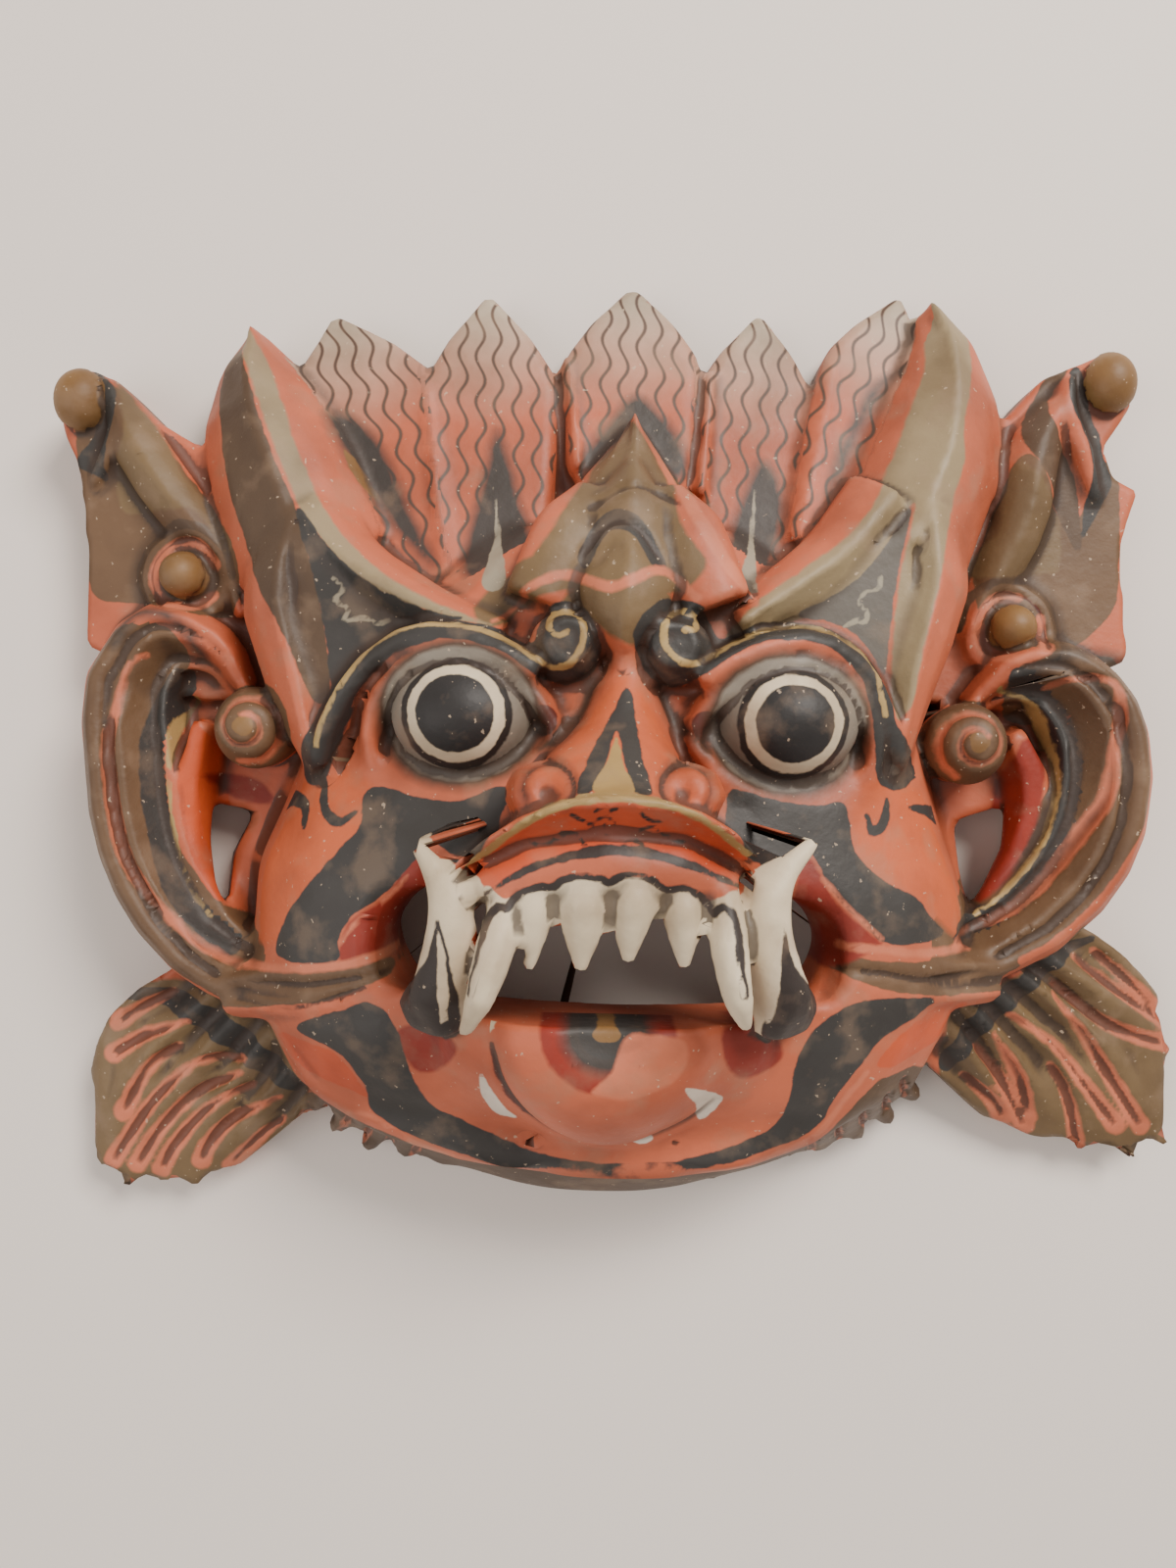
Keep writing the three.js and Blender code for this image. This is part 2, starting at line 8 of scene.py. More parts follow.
import bmesh
import bpy
import numpy as np
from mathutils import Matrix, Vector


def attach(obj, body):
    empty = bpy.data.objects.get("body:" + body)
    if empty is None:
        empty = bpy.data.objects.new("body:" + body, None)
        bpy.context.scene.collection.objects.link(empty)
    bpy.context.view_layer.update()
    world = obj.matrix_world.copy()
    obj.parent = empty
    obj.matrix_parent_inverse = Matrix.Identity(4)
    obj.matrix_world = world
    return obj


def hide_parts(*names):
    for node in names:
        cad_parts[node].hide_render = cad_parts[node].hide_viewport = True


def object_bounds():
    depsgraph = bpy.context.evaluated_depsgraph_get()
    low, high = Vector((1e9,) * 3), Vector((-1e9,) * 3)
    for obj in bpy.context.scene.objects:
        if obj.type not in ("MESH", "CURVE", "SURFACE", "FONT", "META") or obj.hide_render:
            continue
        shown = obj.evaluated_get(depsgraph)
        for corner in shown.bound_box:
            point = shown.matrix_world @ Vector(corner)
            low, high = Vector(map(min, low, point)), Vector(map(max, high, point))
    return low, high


MIDDLE = np.array([0.15, 10.25, 0.0])
VOXEL = 1.12  # the fine mesh's spacing
CROWN_FROM = 42  # the heights at which the fine mesh is parted, so that no piece is too heavy
JAW_FROM = -62
REACH = 8.0  # how far from a line its field is worked out
FAR = 50.0  # the value of a field where its shape is out of reach

# The balls of the carving: middle, and reach across, up and out.
BALLS = [
    (-38.5, 16, 44, 18, 15, 20), (38.5, 16, 44, 18, 15, 20),
    (-94, 12.5, 24, 11, 11, 16), (88, 12.5, 24, 11, 11, 16),
    (-144.8, 98.5, 17, 7.4, 8.6, 8.5), (127, 109, 17, 7.4, 8.6, 8.5),
    (-115, 52, 22, 6.4, 6.4, 9), (101, 43, 22, 6.4, 6.4, 9),
]

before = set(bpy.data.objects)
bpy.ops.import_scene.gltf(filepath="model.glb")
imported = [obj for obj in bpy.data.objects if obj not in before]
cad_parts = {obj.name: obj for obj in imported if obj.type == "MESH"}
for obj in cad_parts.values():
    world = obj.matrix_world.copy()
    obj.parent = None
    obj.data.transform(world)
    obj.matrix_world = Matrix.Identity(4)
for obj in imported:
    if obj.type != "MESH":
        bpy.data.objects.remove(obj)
cad_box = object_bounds()


# ---------------------------------------------------------------- the carved surface
def fine_copy(node):
    """An even fine mesh over a CAD node."""
    rough = bpy.data.objects.new("rough", node.data.copy())
    bpy.context.collection.objects.link(rough)
    remesh = rough.modifiers.new("even", "REMESH")
    remesh.mode = "VOXEL"
    remesh.voxel_size = VOXEL / 1000
    fine = bpy.data.meshes.new_from_object(rough.evaluated_get(bpy.context.evaluated_depsgraph_get()))
    bpy.data.objects.remove(rough)
    return fine


class Surface:
    """The points of a mesh in the drawing's frame, with their normals and neighbours."""

    def __init__(self, mesh):
        self.mesh = mesh
        count = len(mesh.vertices)
        flat = np.empty(count * 3, np.float32)
        mesh.vertices.foreach_get("co", flat)
        self.points = flat.reshape(-1, 3).astype(float) * 1000 + MIDDLE
        pairs = np.empty(len(mesh.edges) * 2, np.int32)
        mesh.edges.foreach_get("vertices", pairs)
        pairs = pairs.reshape(-1, 2)
        self.ends = np.concatenate([pairs[:, 0], pairs[:, 1]])
        self.others = np.concatenate([pairs[:, 1], pairs[:, 0]])
        self.read_normals()

    def read_normals(self):
        flat = np.empty(len(self.points) * 3, np.float32)
        self.mesh.vertex_normals.foreach_get("vector", flat)
        self.normals = flat.reshape(-1, 3).astype(float)

    def write(self):
        """Puts the moved points back into the mesh."""
        self.mesh.vertices.foreach_set("co", ((self.points - MIDDLE) / 1000).astype(np.float32).ravel())
        self.mesh.update()
        self.read_normals()

    def averaged(self, values, weights):
        """Each point's weighted mean of its neighbours' values."""
        total = np.bincount(self.ends, weights, len(self.points)) + 1e-9
        columns = [np.bincount(self.ends, weights * column[self.others], len(self.points)) / total
                   for column in values.T]
        return np.stack(columns, 1)

    def soften(self, rounds, give, crease=0.06):
        """Rounds facets off and keeps true edges, where neighbouring normals part by more."""
        for i in range(rounds):
            if i % 4 == 0:
                self.write()
                parting = 1 - (self.normals[self.ends] * self.normals[self.others]).sum(1)
                weights = np.exp(-(parting / crease) ** 2)
            self.points += (self.averaged(self.points, weights) - self.points) * give[:, None]
        self.write()

    def hollows(self):
        """How deep each point lies below its neighbourhood, in mm: positive in a groove."""
        evenly = np.ones(len(self.ends))
        mean = self.points
        for _ in range(3):
            mean = self.averaged(mean, evenly)
        return ((mean - self.points) * self.normals).sum(1)


# ---------------------------------------------------------------- lines and fields
def smooth(line, closed=False, steps=6):
    """A Catmull-Rom curve through the corners of a line."""
    corners = np.array(line, float)
    if closed:
        padded = np.concatenate([corners[-1:], corners, corners[:2]])
    else:
        before = 2 * corners[:1] - corners[1:2]
        after = 2 * corners[-1:] - corners[-2:-1]
        padded = np.concatenate([before, corners, after])
    t = np.linspace(0, 1, steps, endpoint=False)[:, None]
    runs = []
    for a, b, c, d in zip(padded, padded[1:], padded[2:], padded[3:]):
        runs.append(0.5 * (2 * b + (c - a) * t + (2 * a - 5 * b + 4 * c - d) * t ** 2
                           + (3 * b - a - 3 * c + d) * t ** 3))
    runs.append(padded[-2:-1])
    return np.concatenate(runs)


class Drawing:
    """What is cut into the surface and what is painted on it, point by point."""

    def __init__(self, surface):
        self.xy = surface.points[:, :2].copy()
        self.z = surface.points[:, 2].copy()
        self.up = surface.normals[:, 2].copy()
        self.depth = np.zeros(len(self.z))
        self.phase = np.zeros(len(self.z))
        self.tip = np.zeros(len(self.z))
        self.coats = {coat.name: np.full(len(self.z), FAR) for coat in COATS}

    def nearest(self, path, reach):
        """(which points are near, signed distance, share along) of a path; left is positive."""
        near = np.flatnonzero(((self.xy > path.min(0) - reach) & (self.xy < path.max(0) + reach)).all(1))
        starts = path[:-1]
        runs = path[1:] - starts
        lengths = np.hypot(*runs.T) + 1e-9
        offsets = self.xy[near][:, None] - starts
        shares = np.clip((offsets * runs).sum(2) / lengths ** 2, 0, 1)
        gaps = offsets - runs * shares[:, :, None]
        distances = np.hypot(gaps[:, :, 0], gaps[:, :, 1])
        best = distances.argmin(1)
        rows = np.arange(len(near))
        side = np.sign(runs[best, 0] * gaps[rows, best, 1] - runs[best, 1] * gaps[rows, best, 0])
        passed = np.concatenate([[0], np.cumsum(lengths)[:-1]])
        along = (passed[best] + shares[rows, best] * lengths[best]) / lengths.sum()
        return near, distances[rows, best] * side, along

    def stroke(self, line, half, teeth=0, bite=0.0):
        """How far each point lies outside a stroke; its left edge can have saw teeth."""
        near, across, along = self.nearest(smooth(line), REACH)
        halves = np.atleast_1d(half)
        wide = np.interp(along, np.linspace(0, 1, len(halves)), halves)
        if teeth:
            wide = wide + bite * np.where(across > 0, (along * teeth) % 1, 0)
        field = np.full(len(self.z), FAR)
        field[near] = np.abs(across) - wide
        return field

    def patch(self, outline, rounded=True):
        """How far each point lies outside a closed outline: negative inside."""
        path = smooth(outline, closed=True) if rounded else np.array([*outline, outline[0]], float)
        near, across, _ = self.nearest(path, REACH)
        x, y = self.xy[near].T
        inside = np.zeros(len(near), bool)
        for (ax, ay), (bx, by) in zip(path[:-1], path[1:]):
            if ay != by:
                inside ^= ((ay > y) != (by > y)) & (x < (bx - ax) * (y - ay) / (by - ay) + ax)
        field = np.full(len(self.z), FAR)
        field[near] = np.abs(across) * np.where(inside, -1, 1)
        return field

    def disc(self, x, y, radius, squeeze=1.0):
        """How far each point lies outside a circle, or an ellipse that is less high than wide."""
        return np.hypot(self.xy[:, 0] - x, (self.xy[:, 1] - y) / squeeze) - radius

    def paint(self, coat, *fields, over=-FAR, under=FAR * 3):
        """Adds shapes to a coat, where the surface's height lies between two limits."""
        allowed = (self.z > over) & (self.z < under) & (self.up > -0.25)
        for field in fields:
            self.coats[coat] = np.where(allowed, np.minimum(self.coats[coat], field), self.coats[coat])

    def groove(self, line, half, depth):
        """A cut of rounded section that fades at its ends; a negative depth raises a ridge."""
        near, across, along = self.nearest(smooth(line), REACH)
        profile = np.clip(1 - (across / half) ** 2, 0, 1) ** 1.5
        fade = np.clip(8 * np.minimum(along, 1 - along), 0, 1) ** 0.5
        self.depth[near] += np.where(self.up[near] > 0.1, depth * profile * fade, 0)


def spiral(x, y, radius, turns, start, inner=0.15):
    """The corners of a volute that winds in from an angle in degrees; negative turns go clockwise."""
    shares = np.linspace(0, 1, max(8, int(abs(turns) * 10)))
    radii = radius * (1 + (inner - 1) * shares)
    angles = math.radians(start) + 2 * math.pi * turns * shares
    return np.stack([x + radii * np.cos(angles), y + radii * np.sin(angles)], 1)


# ---------------------------------------------------------------- crown and horns
WAVE_SPACING = 4.9  # between the petals' wavy lines
WAVE_LENGTH = 13
WAVE_SWING = 1.3
PETALS = [  # root, tip
    ((-54, 45), (-80, 125)), ((-34, 45), (-38.5, 131.5)), ((1.5, 62), (0.5, 134.5)),
    ((31, 47), (35, 128)), ((50, 62), (73, 133.5)),
]


def draw_crown(d):
    """Flame petals: pale tips, wavy lines and dark hearts."""
    best = np.full(len(d.z), 1.0)
    for root, tip in PETALS:
        run = np.subtract(tip, root)
        length = np.hypot(*run)
        along = ((d.xy - root) @ run) / length
        across = ((d.xy - root) @ [run[1], -run[0]]) / length
        level = 28 - 16 * np.clip(along / length, 0, 1)
        share = np.abs(across) / 22
        mine = (share < best) & (np.abs(d.z - level) < 2.6) & (along > 0) & (d.up > 0.3)
        best = np.where(mine, share, best)
        bowed = across * (1 + 0.35 * np.clip(along / length - 0.6, 0, 1))
        waving = bowed + WAVE_SWING * np.sin(along * 2 * math.pi / WAVE_LENGTH + across * 0.12)
        d.phase = np.where(mine, waving / WAVE_SPACING + 20, d.phase)
        from_tip = length - along
        d.tip = np.where(mine, np.clip(1.15 - (from_tip + 0.25 * np.abs(across)) / 34, 0, 1), d.tip)
    hearts = [
        [(-80, 96), (-73, 96), (-65, 88), (-59, 76), (-53, 64), (-49, 56), (-53, 57), (-61, 66), (-69, 78),
         (-75, 86)],
        [(-35, 93), (-31, 85), (-28, 74), (-23, 57), (-30, 50), (-36, 47), (-42, 54), (-41, 66), (-38, 79)],
        [(2, 103), (10, 96), (16, 85), (12, 80), (2, 90), (-9, 81), (-12, 85), (-5, 96)],
        [(35, 86), (39, 83), (41, 73), (38, 59), (32, 48), (25, 49), (23, 54), (28, 70), (32, 81)],
        [(72, 112), (67, 106), (61, 94), (56, 83), (52, 77), (54, 86), (59, 97), (64, 107)],
    ]
    d.paint("smoke", *[d.patch(heart) for heart in hearts], under=34)
    d.paint("mist", d.stroke([(-35, 77), (-33.5, 66), (-33, 50)], [0.2, 0.8, 3.2]),
            d.stroke([(33.5, 78), (32, 62), (29, 48)], [0.2, 0.8, 2.6]), under=46)
    d.paint("bronze", d.patch([(-74, 86), (-69, 80), (-64, 72), (-67, 74), (-72, 80)]), under=34)


def draw_horns(d):
    """Horn-like leaves: dark outer faces, pale inner ones, a black triangle in each fork."""
    d.paint("umber", d.patch([
        (-110, 126), (-112, 121), (-107, 101), (-104, 83), (-100, 68), (-92, 49), (-83, 34), (-76, 19),
        (-72, 22), (-74, 37), (-77, 51), (-81.5, 65), (-87, 76), (-93.5, 91), (-98, 103), (-103, 116)]),
        over=22)
    d.paint("pale", d.patch([
        (-107, 126), (-104, 124), (-94, 107.5), (-89, 96), (-82.5, 80), (-73.5, 64), (-63, 53),
        (-54, 46.5), (-44.5, 42), (-32, 37), (-38, 37.5), (-46.5, 40), (-56.5, 43.5), (-65.5, 48.5),
        (-73, 56), (-81, 66), (-86, 76.5), (-92, 89.5), (-97, 102)]),
        d.patch([
            (77.5, 128), (87, 126), (87.5, 108), (84, 93), (84, 83), (81.5, 75), (79, 65), (76.5, 54),
            (73.5, 42), (71, 30), (69.5, 21), (65, 17), (65, 26), (65.5, 38), (66.5, 50), (68, 59),
            (70.5, 71), (65.5, 63), (60, 54), (53, 48), (46, 43), (35, 39), (24, 35.5), (30, 43.5),
            (38, 50), (47.5, 57), (57, 66), (64, 78), (69, 90), (73.5, 102), (76.5, 112)]), over=22)
    d.paint("black", d.patch([
        (-82, 67), (-73, 56.5), (-64, 48.5), (-54, 43), (-44, 39.5), (-39, 38.5), (-48.5, 36.5),
        (-58.5, 35.5), (-64.5, 30), (-67, 24), (-70.5, 17), (-72, 22.5), (-74, 37), (-77.5, 51)]),
        over=36)
    d.paint("slate", d.patch([
        (70, 71), (63.5, 60.5), (57.5, 53), (50.5, 47.5), (42, 42.5), (49.5, 41), (55.5, 38.5),
        (60.5, 33), (63.5, 28), (64.5, 37.5), (65.5, 47.5), (67, 58)]),
        d.patch([(-72, 52), (-64, 46.5), (-54, 42), (-46, 39.5), (-56, 38), (-66, 40), (-73, 46)]), over=36)
    for line in ([(-72, 49), (-69.5, 46.5), (-71.5, 43.5), (-68, 41.5), (-69.5, 38.5), (-64.5, 39.5),
                  (-61, 38), (-58, 39)],
                 [(62, 52.5), (61.5, 49.5), (58.5, 48.5), (57, 46), (59, 43.5), (58.5, 41), (56.5, 41.5),
                  (53.5, 40)]):
        d.paint("mist", d.stroke(line, 0.55), over=36)


# ---------------------------------------------------------------- brows, eyes and nose
def draw_brows(d):
    """Black brows with a gold line that curls into each end knob."""
    d.paint("black", d.patch([
        (-80, 1), (-79, 7), (-76, 13), (-73.5, 19), (-70, 25), (-66, 30.5), (-61, 35), (-54, 37),
        (-45.5, 38), (-37, 37.5), (-29.5, 36), (-22.5, 33), (-21, 36.5), (-19, 41), (-14.5, 43),
        (-10, 40.5), (-7, 35), (-6.5, 30), (-9, 25.5), (-14, 23.5), (-19.5, 24.5), (-23, 26),
        (-27, 29), (-32, 31), (-37, 32.5), (-43, 33), (-49.5, 31.5), (-55.5, 29), (-60.5, 24.5),
        (-64.5, 19.5), (-67.5, 13), (-70, 7), (-73, 0), (-77, -2)]),
        d.patch([
            (75, 6), (65, 16), (64, 24), (60, 31), (55, 36), (49, 39.5), (42, 40.5), (34, 40),
            (27.5, 37.5), (22.5, 36), (19, 41), (14, 43.5), (9.5, 43.5), (5.5, 41.5), (2.5, 38),
            (1, 34), (2.5, 30), (5.5, 25.5), (10.5, 23.5), (15, 24.5), (19, 26.5), (23.5, 30),
            (30.5, 33.5), (37.5, 34.5), (44.5, 34), (50.5, 31), (55.5, 26), (58, 19), (59.5, 11),
            (61, 3), (67, 0), (73, 3)]), over=33)
    gold = [
        [(-74.5, 4), (-73.5, 11), (-70.5, 17.5), (-66.5, 24), (-61.5, 30), (-55, 34.5), (-48, 36.5),
         (-40, 36.3), (-32, 34.5), (-25.5, 31.5), (-21, 28.5), (-17, 27), (-13, 28), (-10.6, 32),
         (-10.6, 37), (-13.5, 40), (-17, 39.5), (-18.4, 36.5), (-16.5, 34), (-14, 35)],
        [(62, 18), (60, 25), (58.5, 31), (55, 35), (48.5, 38.5), (43.5, 39.5), (36, 38.6),
         (28.5, 35.8), (22.5, 32.5), (16.5, 28.6), (12, 28.8), (8.6, 32.4), (8.6, 37.5), (11.5, 41),
         (15.5, 40), (15.6, 36.5), (13, 36)],
    ]
    for line in gold:
        d.paint("gold", d.stroke(line, 0.75), over=40)
        d.groove(line, 1.3, -0.35)


def draw_eyes(d):
    """Bulging eyes: grey whites, a black ring, a cream ring and the pupil."""
    for x, y in ((-39.3, 15.6), (38.6, 14.9)):
        ball = d.disc(x, y, 18.2, 0.86)
        d.paint("shade", d.disc(x, y, 20.5, 0.86), over=40)
        d.paint("whites", ball, over=45)
        d.paint("ring", d.disc(x, y, 13.0), over=50)
        d.paint("cream", d.disc(x, y, 11.4), over=50)
        d.paint("pupil", d.disc(x, y, 9.0), over=50)
        d.paint("deep", d.disc(x + math.copysign(20, -x), y - 1, 3.5), over=45)


def draw_nose(d):
    """Orange nose with a black peak, a gold wedge and curled nostrils."""
    d.paint("orange", d.patch([
        (0, 26), (-7, 18), (-14, 8), (-25, 2), (-28, -6), (-22, -9), (0, -3), (20, -9), (25, -4),
        (20, 3), (12, 8), (6, 18)]), over=52)
    d.paint("black", d.patch([
        (0, 23), (-2.7, 17.5), (-6, 11), (-8.5, 5.5), (-11, -1.5), (-7.5, -1.5), (-5, 4), (-3, 11),
        (-1.8, 11), (-0.6, 4), (1.2, -1.5), (5, -1.5), (3.4, 5.5), (2.2, 13), (1.5, 19)]), over=52)
    d.paint("goldpatch", d.patch([(-2.5, 10.5), (-4.4, 5), (-7.4, -1.5), (0.9, -1.5), (-1, 4.5)]), over=52)
    for x, y, way in ((-17.3, -0.8, 1), (13, -0.3, -1)):
        rim = spiral(x, y, 5.6, 0.72 * way, 90 - 130 * way, 1.0)
        d.groove(rim, 1.3, 0.8)
        # painted shade along the top of each nostril's groove
        d.paint("smoke", d.stroke(rim, 0.4), over=60)
    for side in (-1, 1):
        crease = [(side * 8, 24), (side * 12, 15), (side * 20, 8)]
        d.groove(crease, 1.6, 0.7)
        d.paint("shade", d.stroke(crease, 1.6), over=45)


# ---------------------------------------------------------------- mouth and jaw
def draw_mouth(d):
    """Lip with its chipped rim and swirls, gum, teeth and tusks."""
    d.paint("lip", d.patch([
        (-35, -19), (-28, -13.5), (-20, -8), (-12, -4), (-4, -2.5), (4, -3), (12, -5), (20, -10),
        (28, -16), (24, -21.5), (14, -17), (-4, -13.5), (-18, -16.5), (-29, -23)]), over=70)
    d.paint("gold", d.stroke([
        (-34, -18.2), (-27.6, -13.1), (-20.3, -7.6), (-13.4, -4.2), (-5, -2.6), (2, -2.8), (9.5, -4.5),
        (15.6, -7), (21.5, -11), (28, -16)], [0.5, 0.9, 1.1, 0.9, 0.5]), over=70)
    d.paint("ink", d.stroke([
        (-29.5, -23.5), (-20.5, -18), (-12, -15), (-4, -13.6), (4, -14), (12, -16), (20, -19.2),
        (26, -22)], [0.4, 1.0, 1.1, 1.0, 0.4]), over=70)
    swirls = [
        spiral(-4.6, -8.8, 2.6, -1.2, 200, 0.25),
        [(-20.5, -12.2), (-18, -13), (-15.5, -12), (-13.5, -10.4), (-10.5, -10.6), (-9, -12.6)],
        [(-12, -6.4), (-9.5, -7.4), (-8, -8.6)], [(-7, -5.6), (-5.8, -4.8)], [(-3.8, -5.4), (-2.6, -4.9)],
        [(1.9, -9.8), (4.9, -8.6), (7.1, -10), (9.3, -11), (12, -11.8)],
        [(2.5, -6), (4.5, -7.2), (7, -7.4)],
        [(-1, -12), (1, -11.4), (3, -12.2)],
    ]
    d.paint("ink", *[d.stroke(line, 0.42) for line in swirls], over=75)
    gum = [
        (-25, -26.5), (-22.5, -23.4), (-18.5, -21.6), (-15, -21.6), (-13.7, -20.2), (-10, -19),
        (-5.6, -19.4), (-4, -20.3), (-1, -18.8), (3, -18.8), (6, -20), (8.3, -21.7), (12.3, -21.2),
        (16, -23.4), (18.5, -26.5)]
    d.paint("cream", d.patch([*gum, (20, -45), (-28, -45)]), over=72)
    d.paint("ink", d.stroke(gum, 0.85), over=72)
    d.paint("cream", *[d.patch(outline) for outline in (
        [(-26, -24), (-31, -24), (-38, -54), (-36, -60), (-29, -56), (-22, -40), (-22, -27)],
        [(20, -23), (25, -24), (29, -50), (29, -56), (22, -53), (17, -40), (17, -27)],
        [(-50, -7), (-46, -8), (-38, -17), (-30, -22), (-29, -36), (-31, -52), (-38, -57), (-46, -52),
         (-48, -38), (-45, -25), (-50, -13)],
        [(45, -7), (41, -8), (31, -16), (24, -21), (23, -36), (25, -50), (32, -57), (40, -52), (42, -38),
         (38, -24), (44, -13)])], over=66)
    lobes = [
        [(-53, -44), (-46, -42.5), (-41.5, -35), (-39.6, -29), (-37.5, -35), (-35.6, -44), (-35, -50),
         (-37, -58), (-44, -58), (-52, -52)],
        [(31, -46), (32.5, -36), (33.6, -29), (36, -36), (41, -41), (45, -43), (43, -52), (36, -58),
         (31, -56)],
    ]
    d.paint("ink", *[d.patch(lobe) for lobe in lobes], over=60)
    d.paint("blade", *[d.stroke(line, half) for line, half in (
        ([(-40.1, -30), (-41.8, -35), (-45, -40), (-51, -46)], [0.3, 1.1, 1.4, 0.9]),
        ([(-39.3, -32), (-38.4, -39), (-38.2, -52)], [0.3, 1.3, 0.8]),
        ([(-27, -28), (-28.8, -34), (-30.6, -40), (-32, -46)], [0.3, 0.8, 0.4]),
        ([(19.6, -26.5), (21.6, -33), (24, -41), (25, -45)], [0.3, 0.9, 0.4]),
        ([(33.3, -30), (32, -38), (31.4, -50)], [0.3, 1.2, 0.8]),
        ([(34, -28.5), (36.4, -35.5), (42, -43)], [0.3, 1.3, 0.9]))], over=60)
    d.paint("ink", *[d.stroke(line, 0.9) for line in (
        [(-26.5, -26), (-29, -29), (-29.9, -35), (-31.8, -44)],
        [(18.5, -26.3), (20.6, -25), (22.8, -28), (23.6, -35), (24.8, -43)])], over=76)


def draw_cheeks(d):
    """Orange cheeks, the black bands that sweep down past the mouth, curls and corner shadows."""
    d.paint("orange", d.patch([
        (-86, -5), (-72, 2), (-60, -2), (-64, -15), (-75, -26), (-82, -40), (-97, -38), (-98, -20)]),
        d.patch([(57, 2), (72, 1), (84, -7), (92, -20), (93, -36), (82, -35), (72, -26), (58, -17),
                 (54, -6)]), over=33)
    d.paint("red", d.patch([
        (-48, -18), (-56, -28), (-64, -34), (-66, -43), (-56, -42), (-50, -45), (-44, -30)]),
        d.patch([(43, -16), (50, -26), (58, -33), (62, -36), (56, -39), (48, -42), (40, -30)]), over=20)
    d.paint("black", d.patch([
        (-62, -3), (-56, -2), (-48, -4), (-38, -4.5), (-30, -1), (-26.5, -2), (-28.5, -8), (-29, -12),
        (-33, -17), (-40, -17), (-45, -15), (-52, -23), (-57, -28), (-63.5, -32.5), (-66.5, -38),
        (-66.5, -43), (-75.5, -44.5), (-83.5, -43), (-81.5, -34.5), (-75, -25.5), (-68, -17.5),
        (-62.5, -11)]),
        d.patch([
            (24.5, -1.5), (29, -1), (36.5, -3), (46, -4), (52, -3), (54, -7.5), (54.5, -13), (58, -18),
            (64.5, -22.5), (71, -25.5), (76, -31), (79.5, -34.5), (72, -36.5), (62, -36), (57.5, -32),
            (52, -27), (48, -22), (44, -15), (38, -17), (30, -17), (24, -12)]), over=33)
    d.paint("black", d.stroke([(-98, -38), (-99, -28), (-96, -18), (-91, -10), (-85, -5.5), (-79, -6.5),
                               (-78, -12)], [0.8, 0.8, 1.6, 2.4, 0.7]),
            d.stroke([(71, -4), (78, -5), (86, -9), (90, -17), (91, -25), (91, -32)],
                     [0.6, 2.2, 1.6, 0.8, 0.6]),
            d.stroke([(-73, 1), (-73, -6.5), (-68.5, -10.5), (-64, -8)], [0.6, 1.3, 1.4, 0.5]),
            d.stroke([(64.3, -2), (63, -8), (60, -9.7), (58.5, -6)], [0.5, 1.4, 1.3, 0.5]), over=28)
    for lines in ([(-95, -50.5), (-78, -50), (-65, -47.5), (-54, -45)],
                  [(-95, -55.5), (-80.5, -56), (-67.5, -52), (-56, -47)],
                  [(51, -42), (61.5, -43), (75.5, -45.5), (92, -44)]):
        d.groove(lines, 1.4, 0.9)
    d.paint("brown", d.stroke([(-99, -53), (-84, -51), (-69, -49), (-56, -44.5)], [5, 4.8, 3.6, 2]),
            d.stroke([(97, -45), (80, -45), (65, -44), (51, -40.5)], [4.5, 4.6, 3.6, 2]), over=33)
    d.paint("edge", d.stroke([(-93, -47), (-78, -46), (-65, -43.8), (-55, -41)], 1.0),
            d.stroke([(52, -36.5), (62, -37.5), (72, -38.8), (88, -38.5)], 1.0),
            d.stroke([(-66, -39), (-62, -33.5), (-56, -28.5), (-50, -22.5)], 0.5),
            d.stroke([(47, -21), (52, -26.5), (57.5, -31.5), (62, -35.3)], 0.6), over=33)


